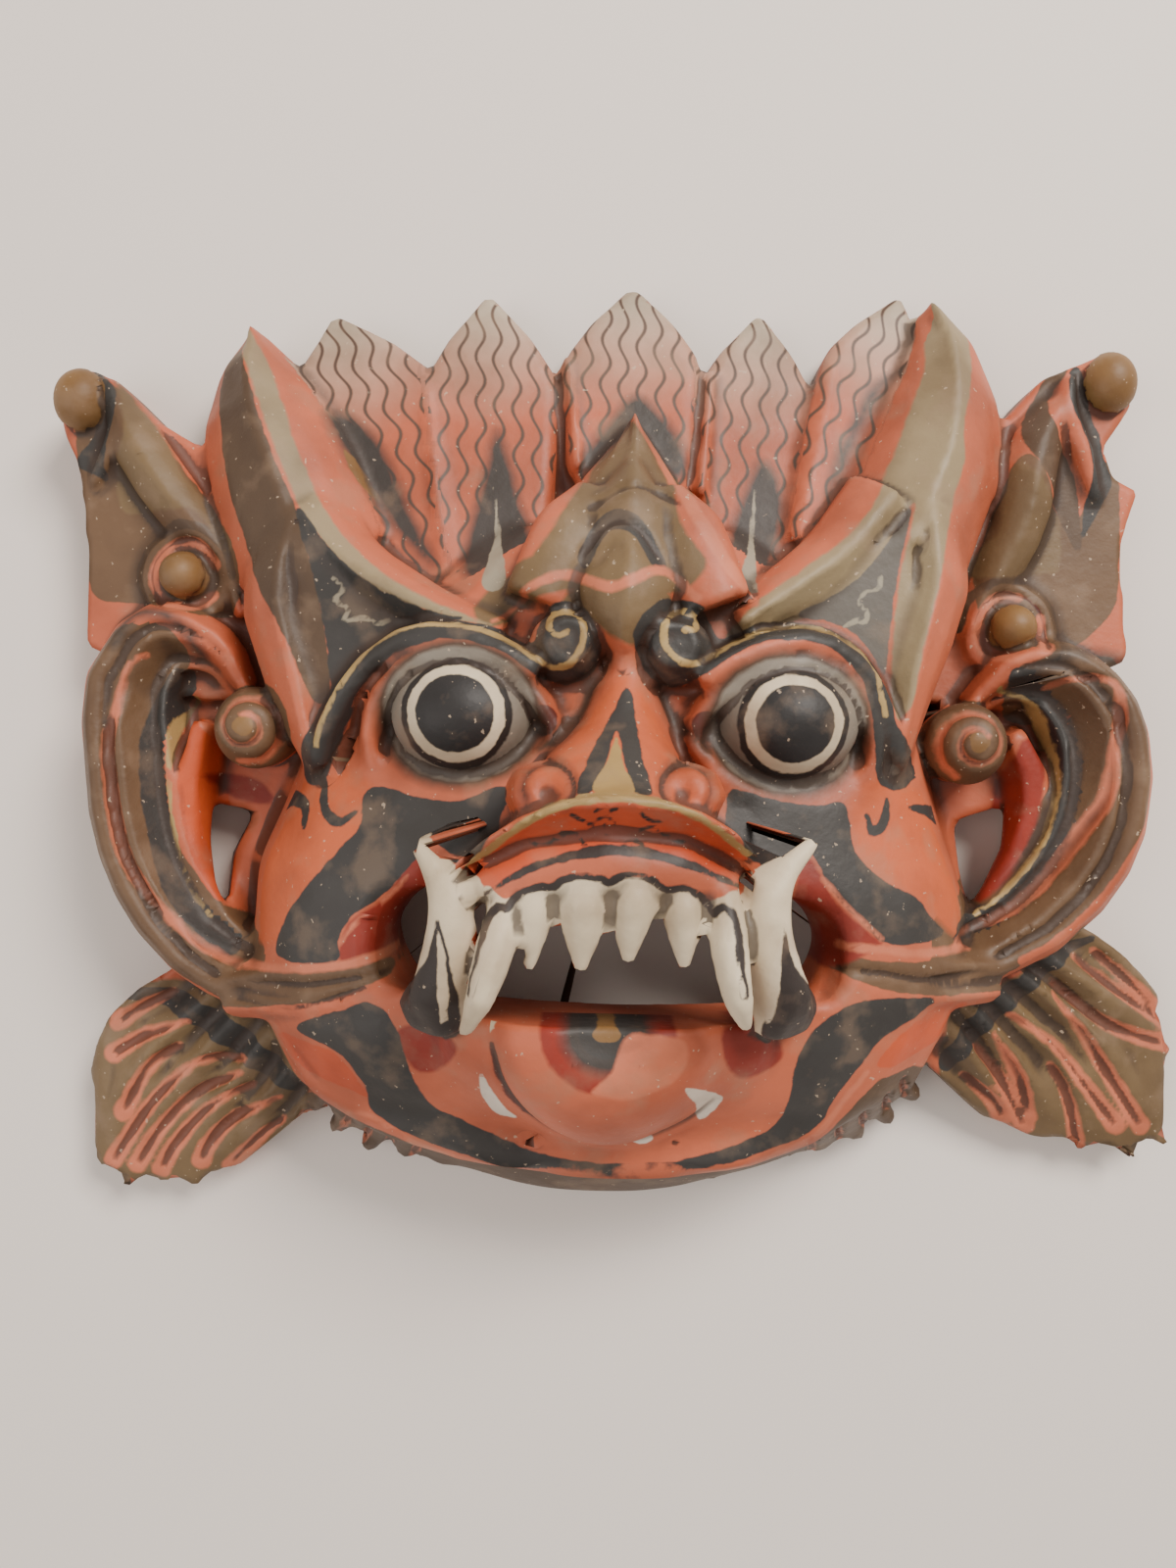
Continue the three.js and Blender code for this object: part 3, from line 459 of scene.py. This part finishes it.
def draw_jaw(d):
    """Salmon jaw and tongue with the dark eye-like oval, black jaw band, leaves and beard."""
    d.paint("black", d.patch([
        (-66, -55), (-59, -52), (-54, -54.5), (-51, -60.5), (-49, -68), (-46.5, -74), (-43, -78.5),
        (-35, -82.5), (-25.5, -87), (-16, -90), (-2, -91.5), (12.5, -91), (22, -89), (31.5, -85.5),
        (38.5, -81), (41, -73), (41.5, -65.5), (44, -58), (50, -52), (57, -49.5), (67, -49),
        (76.5, -50), (73, -53), (63, -59), (58.5, -65), (53, -73), (50.5, -80), (44.5, -85),
        (34, -89), (24.5, -92), (12.5, -94.5), (-1, -95.5), (-16.5, -94.5), (-30, -92.7),
        (-42, -89.5), (-54.5, -84), (-59.5, -80), (-60.5, -74.5), (-63.5, -69.5), (-68, -65),
        (-78, -61), (-72, -57)]), over=33)
    d.paint("edge", d.stroke([
        (-66, -82), (-59, -82.5), (-47, -90), (-35, -93.5), (-20.5, -96.6), (-6.5, -97.5), (12.5, -97),
        (27, -94.5), (39, -90), (49, -84.5), (55.5, -74.5), (60, -68)], [0.5, 1.2, 1.1, 0.9, 1.1, 0.8]),
        over=24)
    d.paint("fire", d.patch([
        (-84, -63.5), (-76, -64), (-68, -66), (-63.5, -71), (-60, -77), (-66.5, -75), (-74.5, -73),
        (-81, -68.5)]),
        d.patch([(62.5, -65.5), (66.5, -59.5), (74.5, -54), (81, -51), (87, -53), (81, -60.5),
                 (72.5, -65), (65.5, -67)]), over=33)
    d.groove([(-29, -58), (-27, -67), (-22.5, -75), (-16, -81), (-6.5, -84.5), (5, -84.5), (16, -80),
              (23, -72)], 1.5, 0.8)
    # painted shade: only the left half of the tongue's groove is darkened
    d.paint("deep", d.stroke([(-29, -59), (-27, -67), (-22.5, -75), (-16, -81)], [0.7, 1.0, 0.5]), over=40)
    d.paint("red", d.patch([(-52, -59), (-44, -56), (-37, -60), (-40, -66), (-46, -69), (-50, -65)]),
            d.patch([(23.5, -54), (34, -54), (38, -63), (29, -67), (24, -62)]), over=48)
    d.paint("red", d.disc(-2.9, -54, 15, 0.95), over=55)
    d.paint("edge", d.patch([(2, -55), (14, -56), (13, -64), (4, -69), (-6, -68), (-2, -63)]), over=55)
    d.paint("smoke", d.disc(-2.9, -55, 10, 0.85), over=55)
    d.paint("black", d.disc(-2.9, -55, 6.5, 0.8), over=55)
    d.paint("bronze", d.disc(-3.2, -55, 3.2, 0.6), over=55)
    d.paint("worn", d.patch([(-31.6, -66.5), (-29.5, -70), (-26.3, -76.5), (-23.5, -79), (-27.7, -79),
                             (-31.6, -73.5)]),
            d.patch([(14.7, -67), (23.8, -71.5), (23, -76), (19.5, -79), (18, -73)]),
            d.disc(6.3, -84.6, 2.6, 0.5), over=40)


def draw_beard(d):
    """Brown locks under the chin with salmon between them."""
    d.paint("umber", d.patch([
        (-92, -88), (-84, -84), (-72, -81), (-64, -84), (-54, -87.5), (-44, -92), (-30, -96),
        (-6, -99.5), (12, -99), (30, -96), (42, -91.5), (51, -86), (58, -77), (64, -70), (74, -68),
        (84, -72), (84, -100), (0, -125), (-92, -118)], rounded=False), under=46)
    locks = [(-82, -90), (-76, -88), (-70, -90), (-64, -92), (-58, -94), (-51, -96), (52, -93), (58, -88),
             (64, -84), (69, -79), (73, -75)]
    for x, y in locks:
        lean = 0.06 * x
        line = [(x - lean * 0.3, y + 4), (x, y), (x + lean, y - 6)]
        d.groove(line, 1.6, 1.3)
        d.paint("edge", d.stroke(line, [0.3, 1.1, 0.5]), under=46)


# ---------------------------------------------------------------- ears, scrolls and fans
def draw_forehead(d):
    """Leaves stacked up the middle of the forehead, with dark cuts between them."""
    d.paint("olive", d.patch([(2, 91), (9, 88), (13, 80), (15, 70), (2, 73), (-9, 66), (-10, 77),
                              (-5, 86)]),
            d.patch([(-18, 55), (-12, 62), (-12, 53), (-23, 45), (-32, 36), (-37, 42), (-31, 50)]),
            d.patch([(-30, 42), (-20, 57), (-10, 76), (0, 92), (8, 82), (12, 62), (18, 52), (10, 45),
                     (-10, 46)]),
            d.patch([(-16, 41), (-12, 46), (2, 47), (11, 42), (2, 32), (-9, 38)]), over=24)
    d.paint("edge", d.stroke([(1, 92), (9, 80), (15, 66), (22, 54), (30, 44)], [0.6, 1.4, 1.8, 1.2]),
            d.stroke([(-32, 38), (-24, 45), (-14, 49), (-4, 45), (8, 50), (16, 44)], [0.5, 1.1, 1.3, 0.8]),
            over=30)
    d.paint("black", d.patch([
        (-12, 53), (-8.5, 61.5), (-4, 64.7), (1.5, 63.3), (6, 57.7), (8.7, 51), (5, 51.3), (1.6, 57),
        (-3, 59.7), (-6.5, 57.4), (-9.6, 50.5)]), over=40)
    for line in ([(-12, 53), (-5, 61), (2, 60), (8, 52)], [(-10, 65), (-3, 70), (4, 71), (13, 67)]):
        d.groove(line, 1.5, 0.8)


def draw_ears(d):
    """Ears: gold knob, black crescent, leaf and a ball in rolled rings."""
    d.paint("bronze", d.disc(-144.8, 98.5, 7.6, 1.15), d.disc(127, 109, 7.6, 1.15), over=18.5)
    d.paint("black", d.patch([
        (-148, 113), (-136, 102), (-134, 95), (-136, 89), (-137.4, 82), (-137, 76.5), (-139, 78),
        (-145, 80.6), (-145.6, 84), (-142.6, 88), (-140, 94), (-139, 100), (-141, 104.6)]),
        d.patch([(119, 114), (115, 108), (115.6, 101), (119, 95), (121.6, 87.6), (121.8, 80), (121, 73),
                 (121, 68), (124, 73), (127.5, 80), (128.7, 84), (126.5, 89), (125, 95.4), (122, 102)]))
    d.paint("olive", d.patch([
        (-136, 104), (-134, 102.5), (-121.5, 88), (-117, 79.5), (-113, 74.6), (-107, 67), (-102, 60),
        (-104, 58), (-108, 64), (-113, 69), (-118, 68.5), (-127, 69), (-133.6, 70), (-135, 80),
        (-131, 88.6), (-134, 100)]),
        d.patch([(101.6, 86.5), (98.8, 79.4), (97.5, 69), (94, 64.7), (90, 58), (97, 56), (110, 58.6),
                 (115, 60), (114.7, 73), (110, 79), (105.3, 83.4)]))
    d.paint("brown", d.patch([(-146, 94), (-144, 70), (-141, 48), (-128, 45), (-104, 42), (-101, 58),
                              (-118, 82), (-136, 102)]),
            d.patch([(129, 90), (131, 60), (128, 47), (112, 36), (92, 48), (98, 78), (104, 88), (118, 72)]))
    d.paint("umber", d.patch([(118, 116), (111, 111), (103, 95), (106, 86), (111, 80), (117, 69), (119, 65),
                              (121, 66), (120, 76), (117.5, 86), (112, 94.6), (110, 102)]))
    for x, y, way in ((-115, 52, 1), (101, 43, -1)):
        d.paint("bronze", d.disc(x, y, 6.4), over=20)
        d.paint("edge", d.stroke(spiral(x, y, 8.6, 0.85 * way, 20, 1.0), 1.4))
        ring = spiral(x, y, 9.4, 0.7 * way, 90 - 90 * way + 20, 1.0)
        d.groove(ring, 1.2, 0.8)
        d.paint("deep", d.stroke(ring, 0.5))
        d.paint("umber", d.stroke(spiral(x, y, 13.0, 0.6 * way, 90 - 90 * way, 1.0), 1.2))


def draw_sides(d):
    """Painted shade on the mask's own edge: the steep walls low down are darkened."""
    # painted shade on the steep walls, stronger lower down
    d.paint("shade", np.where(d.up < 0.35, (d.z - 11) / 3, FAR))


SAW_TEETH = 34  # along each black band
SCROLLS = [  # the salmon groove, the black band and the gold line of each large scroll
    ([(-122, 30.5), (-126, 27), (-128, 17), (-129.8, 7), (-128, -7.7), (-125, -20), (-119, -30),
      (-112.4, -37), (-105.3, -43), (-95, -47.6)],
     [(-115, 26), (-118, 20.4), (-120.8, 10), (-120.4, -2.5), (-118, -15), (-114.6, -26), (-108.7, -35),
      (-99, -43.5)],
     [(-113, 20.5), (-116.5, 14.4), (-116.6, 6.4), (-116.4, -2.4), (-114.8, -15), (-111, -27.7),
      (-104.8, -36.3)]),
    ([(108.6, 27.4), (115, 29.6), (124, 28.4), (125.7, 20.6), (124.5, 11.7), (123, 0.5), (117.8, -9.4),
      (111, -19.4), (102.7, -28), (94, -33), (83.4, -36.8)],
     [(101, 30), (106, 26), (111.3, 20), (114.6, 11.5), (115, 1.6), (112.8, -9.7), (108, -19.6),
      (102, -26), (94.7, -31), (86, -34.4)],
     [(97, 27), (104.8, 24.8), (110, 19), (113, 10.4), (112.8, 0.2), (110.3, -9.9), (106, -17.5),
      (99.5, -25.5), (92, -31.4)]),
]


def draw_scrolls(d):
    """The large C scrolls beside the cheeks and the volutes they enclose."""
    d.paint("brown", *[d.stroke(groove, [9, 11, 11, 9]) for groove, _, _ in SCROLLS], over=8)
    for groove, band, line in SCROLLS:
        d.paint("edge", d.stroke(groove, [0.6, 1.5, 1.7, 1.4, 0.6]), over=12)
        d.groove(groove, 1.9, 0.9)
        d.paint("black", d.stroke(band, 2.3, teeth=SAW_TEETH, bite=1.6), over=12)
        d.paint("gold", d.stroke(line, 0.6), over=12)
    d.paint("fire", d.patch([(-113, 15), (-114.5, 5), (-114, -5), (-112, -16), (-107, -28), (-102, -32),
                             (-103, -20), (-105, -5), (-107, 10)]))
    d.paint("red", d.patch([(111, 12), (109.9, 2.7), (108.6, -7.6), (104, -18), (98, -25), (93, -28),
                            (94, -18), (99, -8), (101, 4), (104, 14)]),
            d.patch([(-109, 0.3), (-103, -6), (-92.6, -7), (-97.5, -0.7)]))
    d.paint("smoke", d.stroke([(-128.6, 33), (-125.7, 40), (-118.4, 41), (-112.5, 37), (-109.5, 31)], 1.5),
            d.stroke([(143, 33), (128.5, 36.5), (119, 37), (108, 33.5), (101, 29)], 1.5), over=8)
    for x, y, way in ((-94, 12.5, 1), (88, 12.5, -1)):
        curl = spiral(x, y, 9.5, 1.6 * way, 250, 0.3)
        d.paint("brown", d.disc(x, y, 11.5), over=22)
        d.groove(curl, 1.3, 0.9)
        d.paint("edge", d.stroke(curl, 0.6), over=22)
        d.paint("bronze", d.disc(x, y, 2.6), over=22)


FRONDS = [
    [(-116.8, -57.3), (-124.7, -61.4), (-132.6, -66.2)], [(-112, -64.4), (-124, -69), (-134, -75)],
    [(-114.7, -71.3), (-123.5, -78), (-131, -90.6)], [(-96.7, -74), (-109.6, -75.6), (-121.6, -86),
                                                      (-130, -97.6), (-134.8, -105)],
    [(-97.8, -77.7), (-111, -84.7), (-120.5, -94.4), (-128, -105.5)],
    [(-95, -81.4), (-107, -88), (-117, -98.8), (-121.5, -106.6)],
    [(-88, -84.7), (-101, -91.3), (-108, -98.6), (-110.7, -104)],
    [(-87.7, -91), (-95.6, -98), (-103, -106)],
    [(127, -41.3), (137, -49), (146.7, -57.5)], [(121.5, -42.7), (134, -51.7), (150, -61)],
    [(114.6, -49), (131.7, -61), (149.8, -66.8)], [(115, -52.5), (125, -64.4), (135, -78), (143, -89)],
    [(103.4, -58), (116, -65.8), (126.7, -78), (136, -89)], [(116, -71.6), (122, -81), (127, -98)],
    [(99.3, -63), (108, -75.6), (112, -87)], [(95.8, -66.6), (103.4, -76), (111.7, -90)],
    [(93.3, -75.4), (101.4, -82), (106, -87.5)],
]


def draw_fans(d):
    """Leafy fans at the jaw's corners: olive fronds with salmon in the grooves."""
    d.paint("olive", d.patch([(-79, -68), (-96, -58), (-117, -54), (-152, -58), (-152, -112), (-84, -112)],
                             rounded=False),
            d.patch([(86, -58), (100, -50), (112, -42), (118, -33), (152, -38), (152, -106), (88, -106)],
                    rounded=False), under=32)
    for line in FRONDS:
        d.paint("edge", d.stroke(line, [0.8, 1.8, 2.6]), under=32)
        d.groove(line, 1.9, 1.1)
    d.paint("black",
            d.stroke([(-134, -59), (-119, -59), (-103, -66), (-93, -74), (-84, -80)], [1, 3, 4, 3]),
            d.stroke([(126, -38), (114, -44), (103, -53), (95, -61), (89, -72)], [1, 2.6, 3.4, 2.6]),
            under=34)


# ---------------------------------------------------------------- paint
class Coat:
    """A paint: its name, its colour as red, green and blue out of 255, and how hard its edge is."""

    def __init__(self, name, red, green, blue, edge=2.6):
        self.name = name
        self.edge = edge
        self.colour = (*[((c / 255 + 0.055) / 1.055) ** 2.4 for c in (red, green, blue)], 1)


COATS = [  # each lies over the ones before it
    Coat("brown", 104, 78, 54), Coat("umber", 84, 64, 46), Coat("olive", 116, 94, 64, 1.0),
    Coat("orange", 200, 96, 56, 0.5), Coat("fire", 200, 84, 44), Coat("lip", 204, 84, 48),
    Coat("red", 146, 46, 30, 1.0), Coat("deep", 96, 40, 30), Coat("pale", 150, 132, 100, 1.4),
    Coat("slate", 96, 91, 84), Coat("shade", 84, 62, 48, 0.3), Coat("smoke", 60, 54, 50, 0.28),
    Coat("black", 54, 52, 50), Coat("bronze", 132, 98, 56), Coat("mist", 156, 148, 128),
    Coat("whites", 132, 124, 112, 1.0), Coat("ring", 40, 36, 34), Coat("cream", 218, 202, 172),
    Coat("pupil", 38, 36, 36), Coat("goldpatch", 170, 140, 84), Coat("gold", 176, 148, 94),
    Coat("edge", 208, 118, 86, 1.2), Coat("ink", 50, 42, 39), Coat("blade", 222, 206, 178),
    Coat("worn", 228, 216, 200),
]
GROUND = Coat("ground", 194, 100, 68)
PETAL = Coat("petal", 188, 172, 150)
LINE = Coat("line", 92, 70, 58)
# the colour of the painted shade in the hollows
HOLLOW_SHADE = Coat("hollow_shade", 52, 38, 30)
DUST = Coat("dust", 150, 124, 100)
CHALK = Coat("chalk", 200, 178, 152)
# the colour of the painted shade inside the mouth
MOUTH_SHADE = Coat("mouth", 70, 42, 38)


class Paints:
    """A node material built step by step."""

    def __init__(self, name):
        self.material = bpy.data.materials.new(name)
        self.material.use_nodes = True
        self.tree = self.material.node_tree
        self.shader = self.tree.nodes["Principled BSDF"]

    def put(self, target, value):
        if isinstance(value, bpy.types.NodeSocket):
            self.tree.links.new(value, target)
        else:
            target.default_value = value

    def maths(self, operation, a, b, clamp=False):
        node = self.tree.nodes.new("ShaderNodeMath")
        node.operation = operation
        node.use_clamp = clamp
        self.put(node.inputs[0], a)
        self.put(node.inputs[1], b)
        return node.outputs[0]

    def mix(self, share, below, above, blend="MIX"):
        node = self.tree.nodes.new("ShaderNodeMix")
        node.data_type = "RGBA"
        node.blend_type = blend
        self.put(node.inputs["Factor"], share)
        self.put(node.inputs[6], below)
        self.put(node.inputs[7], above)
        return node.outputs[2]

    def field(self, name):
        node = self.tree.nodes.new("ShaderNodeAttribute")
        node.attribute_name = name
        return node.outputs["Fac"]

    def noise(self, scale, detail=4.0):
        coordinates = self.tree.nodes.new("ShaderNodeTexCoord")
        node = self.tree.nodes.new("ShaderNodeTexNoise")
        node.inputs["Scale"].default_value = scale
        node.inputs["Detail"].default_value = detail
        self.tree.links.new(coordinates.outputs["Object"], node.inputs["Vector"])
        return node.outputs["Fac"]

    def step(self, value, edge, slope):
        """0 below the edge, 1 above it, over a short slope."""
        rise = self.maths("MULTIPLY", self.maths("SUBTRACT", value, edge), slope)
        return self.maths("ADD", rise, 0.5, clamp=True)

    def bump(self, height, strength):
        node = self.tree.nodes.new("ShaderNodeBump")
        node.inputs["Strength"].default_value = strength
        node.inputs["Distance"].default_value = 0.0006
        self.tree.links.new(height, node.inputs["Height"])
        self.tree.links.new(node.outputs["Normal"], self.shader.inputs["Normal"])


def painted_wood():
    """All the coats, brushed unevenly, with painted shade in the hollows and small chips."""
    p = Paints("painted_wood")
    waver = p.maths("MULTIPLY", p.maths("SUBTRACT", p.noise(260), 0.5), 1.4)
    colour = p.mix(p.field("tip"), GROUND.colour, PETAL.colour)
    wave = p.maths("ABSOLUTE", p.maths("SUBTRACT", p.maths("FRACT", p.field("phase"), 0.0), 0.5), 0.0)
    colour = p.mix(p.maths("MULTIPLY", p.step(p.maths("SUBTRACT", 0.1, wave), 0, 10),
                           p.step(p.field("phase"), 1, 9)), colour, LINE.colour)
    for coat in COATS:
        share = p.step(p.maths("SUBTRACT", waver, p.field(coat.name)), 0, coat.edge)
        colour = p.mix(share, colour, coat.colour)
    # painted shade: the low surfaces inside the mouth are darkened
    colour = p.mix(p.step(p.field("inside"), 0.5, 2), colour, MOUTH_SHADE.colour)
    stains = p.maths("MULTIPLY", p.step(p.noise(38, 8), 0.52, 5), 0.6)
    colour = p.mix(stains, colour, (0.5, 0.43, 0.36, 1), "MULTIPLY")
    colour = p.mix(p.maths("MULTIPLY", p.step(p.noise(85, 8), 0.6, 8), 0.26), colour, DUST.colour)
    # painted shade: grooves and hollows are darkened by their depth
    colour = p.mix(p.maths("MULTIPLY", p.step(p.field("hollow"), 0.13, 5), 0.8), colour, HOLLOW_SHADE.colour)
    chips = p.maths("MULTIPLY", p.step(p.noise(620, 2), 0.72, 30), 0.55)
    colour = p.mix(chips, colour, CHALK.colour)
    p.put(p.shader.inputs["Base Color"], colour)
    p.put(p.shader.inputs["Roughness"], p.maths("ADD", p.maths("MULTIPLY", p.noise(90), 0.3), 0.4))
    p.bump(p.noise(420, 5), 0.25)
    return p.material


def bare_wood():
    """The sawn back: stained wood with its grain and saw marks."""
    p = Paints("bare_wood")
    grain = p.step(p.noise(45, 8), 0.5, 3)
    p.put(p.shader.inputs["Base Color"], p.mix(grain, (0.13, 0.075, 0.04, 1), (0.22, 0.135, 0.075, 1)))
    p.put(p.shader.inputs["Roughness"], 0.75)
    p.bump(p.noise(160, 8), 0.4)
    return p.material


# ---------------------------------------------------------------- carving
def round_over(surface, x, y, z, across, up, deep, foot=0.25):
    """Puts the points of a faceted ball back on its true ellipsoid."""
    reach = (surface.points - [x, y, z]) / [across, up, deep]
    size = np.linalg.norm(reach, axis=1)
    on_it = (size > 0.85) & (size < 1.04) & (reach[:, 2] > foot)
    surface.points[on_it] = [x, y, z] + reach[on_it] / size[on_it, None] * [across, up, deep]


def softness(surface):
    """How far each point gives when the facets are rounded off: most on the broad plain forms."""
    x, y, z = surface.points.T
    broad = np.full(len(x), 0.05)
    for cx, cy, rx, ry in [(-68, -22, 30, 26), (60, -20, 28, 24), (-3, -88, 66, 24), (-2, 10, 12, 18)]:
        inside = ((x - cx) / rx) ** 2 + ((y - cy) / ry) ** 2
        broad = np.maximum(broad, 0.6 * np.clip(1.6 - inside, 0, 1))
    return np.where(z < 1.0, 0.0, broad)


def draw_all(surface):
    drawing = Drawing(surface)
    for draw in (draw_crown, draw_horns, draw_forehead, draw_brows, draw_eyes, draw_nose, draw_cheeks,
                 draw_mouth, draw_jaw, draw_beard, draw_ears, draw_scrolls, draw_fans,
                 draw_sides):
        draw(drawing)
    return drawing


# ---------------------------------------------------------------- the pieces
def store(mesh, name, values):
    """Keeps one number for each point, for the paint to read."""
    mesh.attributes.new(name, "FLOAT", "POINT").data.foreach_set("value", values.astype(np.float32))


def cut_out(whole, name, keep, material):
    """A piece of the whole with the faces to keep, shaded across the seams as before."""
    mesh = whole.copy()
    shape = bmesh.new()
    shape.from_mesh(mesh)
    others = [face for face, kept in zip(shape.faces, keep) if not kept]
    bmesh.ops.delete(shape, geom=others, context="FACES")
    shape.to_mesh(mesh)
    shape.free()
    normals = np.empty(len(mesh.vertices) * 3, np.float32)
    mesh.attributes["lean"].data.foreach_get("vector", normals)
    mesh.normals_split_custom_set_from_vertices(normals.reshape(-1, 3))
    mesh.materials.clear()
    mesh.materials.append(material)
    piece = bpy.data.objects.new(name, mesh)
    bpy.context.collection.objects.link(piece)
    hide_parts("carved_mask")
    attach(piece, "root")


def painted_mask():
    """The mask in four pieces: the painted crown, face and jaw, and the bare back."""
    whole = fine_copy(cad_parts["carved_mask"])
    surface = Surface(whole)
    surface.soften(60, softness(surface))
    for ball in BALLS:
        round_over(surface, *ball)
    surface.write()
    drawing = draw_all(surface)
    surface.points -= surface.normals * drawing.depth[:, None]
    surface.write()
    for name, field in drawing.coats.items():
        store(whole, name, field)
    store(whole, "phase", drawing.phase)
    store(whole, "tip", drawing.tip)
    store(whole, "hollow", surface.hollows())
    x, y, z = surface.points.T
    # where the painted shade inside the mouth goes
    store(whole, "inside", ((z < 62) & (np.abs(x + 3) < 26) & (y < -20) & (y > -50)).astype(float))
    lean = whole.attributes.new("lean", "FLOAT_VECTOR", "POINT")
    lean.data.foreach_set("vector", surface.normals.astype(np.float32).ravel())
    whole.shade_smooth()

    centres = np.empty(len(whole.polygons) * 3, np.float32)
    facing = np.empty(len(whole.polygons) * 3, np.float32)
    whole.polygons.foreach_get("center", centres)
    whole.polygons.foreach_get("normal", facing)
    centres = centres.reshape(-1, 3) * 1000 + MIDDLE
    back = (centres[:, 2] < 0.3) | (facing.reshape(-1, 3)[:, 2] < -0.45)
    crown = ~back & (centres[:, 1] > CROWN_FROM)
    jaw = ~back & (centres[:, 1] < JAW_FROM)
    paint = painted_wood()
    cut_out(whole, "painted_crown", crown, paint)
    cut_out(whole, "painted_jaw", jaw, paint)
    cut_out(whole, "painted_face", ~back & ~crown & ~jaw, paint)
    cut_out(whole, "sawn_back", back, bare_wood())


# ---------------------------------------------------------------- the view
def look_down():
    """The camera of the photograph, straight above the mask as it lies."""
    data = bpy.data.cameras.new("above")
    data.lens = 27
    data.sensor_width = 36
    camera = bpy.data.objects.new("above", data)
    camera.location = (-0.0085 - 0.00015, -0.01025, 0.330)
    camera.rotation_euler = (0, 0, math.radians(1.3))
    bpy.context.collection.objects.link(camera)
    bpy.context.scene.camera = camera


def lamp(name, place, size, power, colour):
    """A square soft lamp that faces the mask."""
    data = bpy.data.lights.new(name, "AREA")
    data.size = size
    data.energy = power
    data.color = colour
    light = bpy.data.objects.new(name, data)
    light.location = place
    light.rotation_euler = (-light.location).to_track_quat("-Z", "Y").to_euler()
    bpy.context.collection.objects.link(light)


def floor():
    mesh = bpy.data.meshes.new("floor")
    mesh.from_pydata([(-3, -3, 0), (3, -3, 0), (3, 3, 0), (-3, 3, 0)], [], [(0, 1, 2, 3)])
    plane = bpy.data.objects.new("floor", mesh)
    plane.location.z = cad_box[0][2] - 0.0004
    bpy.context.collection.objects.link(plane)
    matt = bpy.data.materials.new("floor")
    matt.use_nodes = True
    shader = matt.node_tree.nodes["Principled BSDF"]
    shader.inputs["Base Color"].default_value = (0.88, 0.81, 0.75, 1)
    shader.inputs["Roughness"].default_value = 0.8
    mesh.materials.append(matt)


def room():
    world = bpy.data.worlds.new("room")
    world.use_nodes = True
    world.node_tree.nodes["Background"].inputs["Color"].default_value = (1.0, 0.93, 0.88, 1)
    world.node_tree.nodes["Background"].inputs["Strength"].default_value = 0.55
    bpy.context.scene.world = world


look_down()
painted_mask()
floor()
room()
lamp("window", (0.55, 0.75, 0.95), 0.5, 21, (1.0, 0.93, 0.86))
lamp("fill", (-0.8, -0.2, 0.9), 0.9, 5, (1.0, 0.93, 0.88))
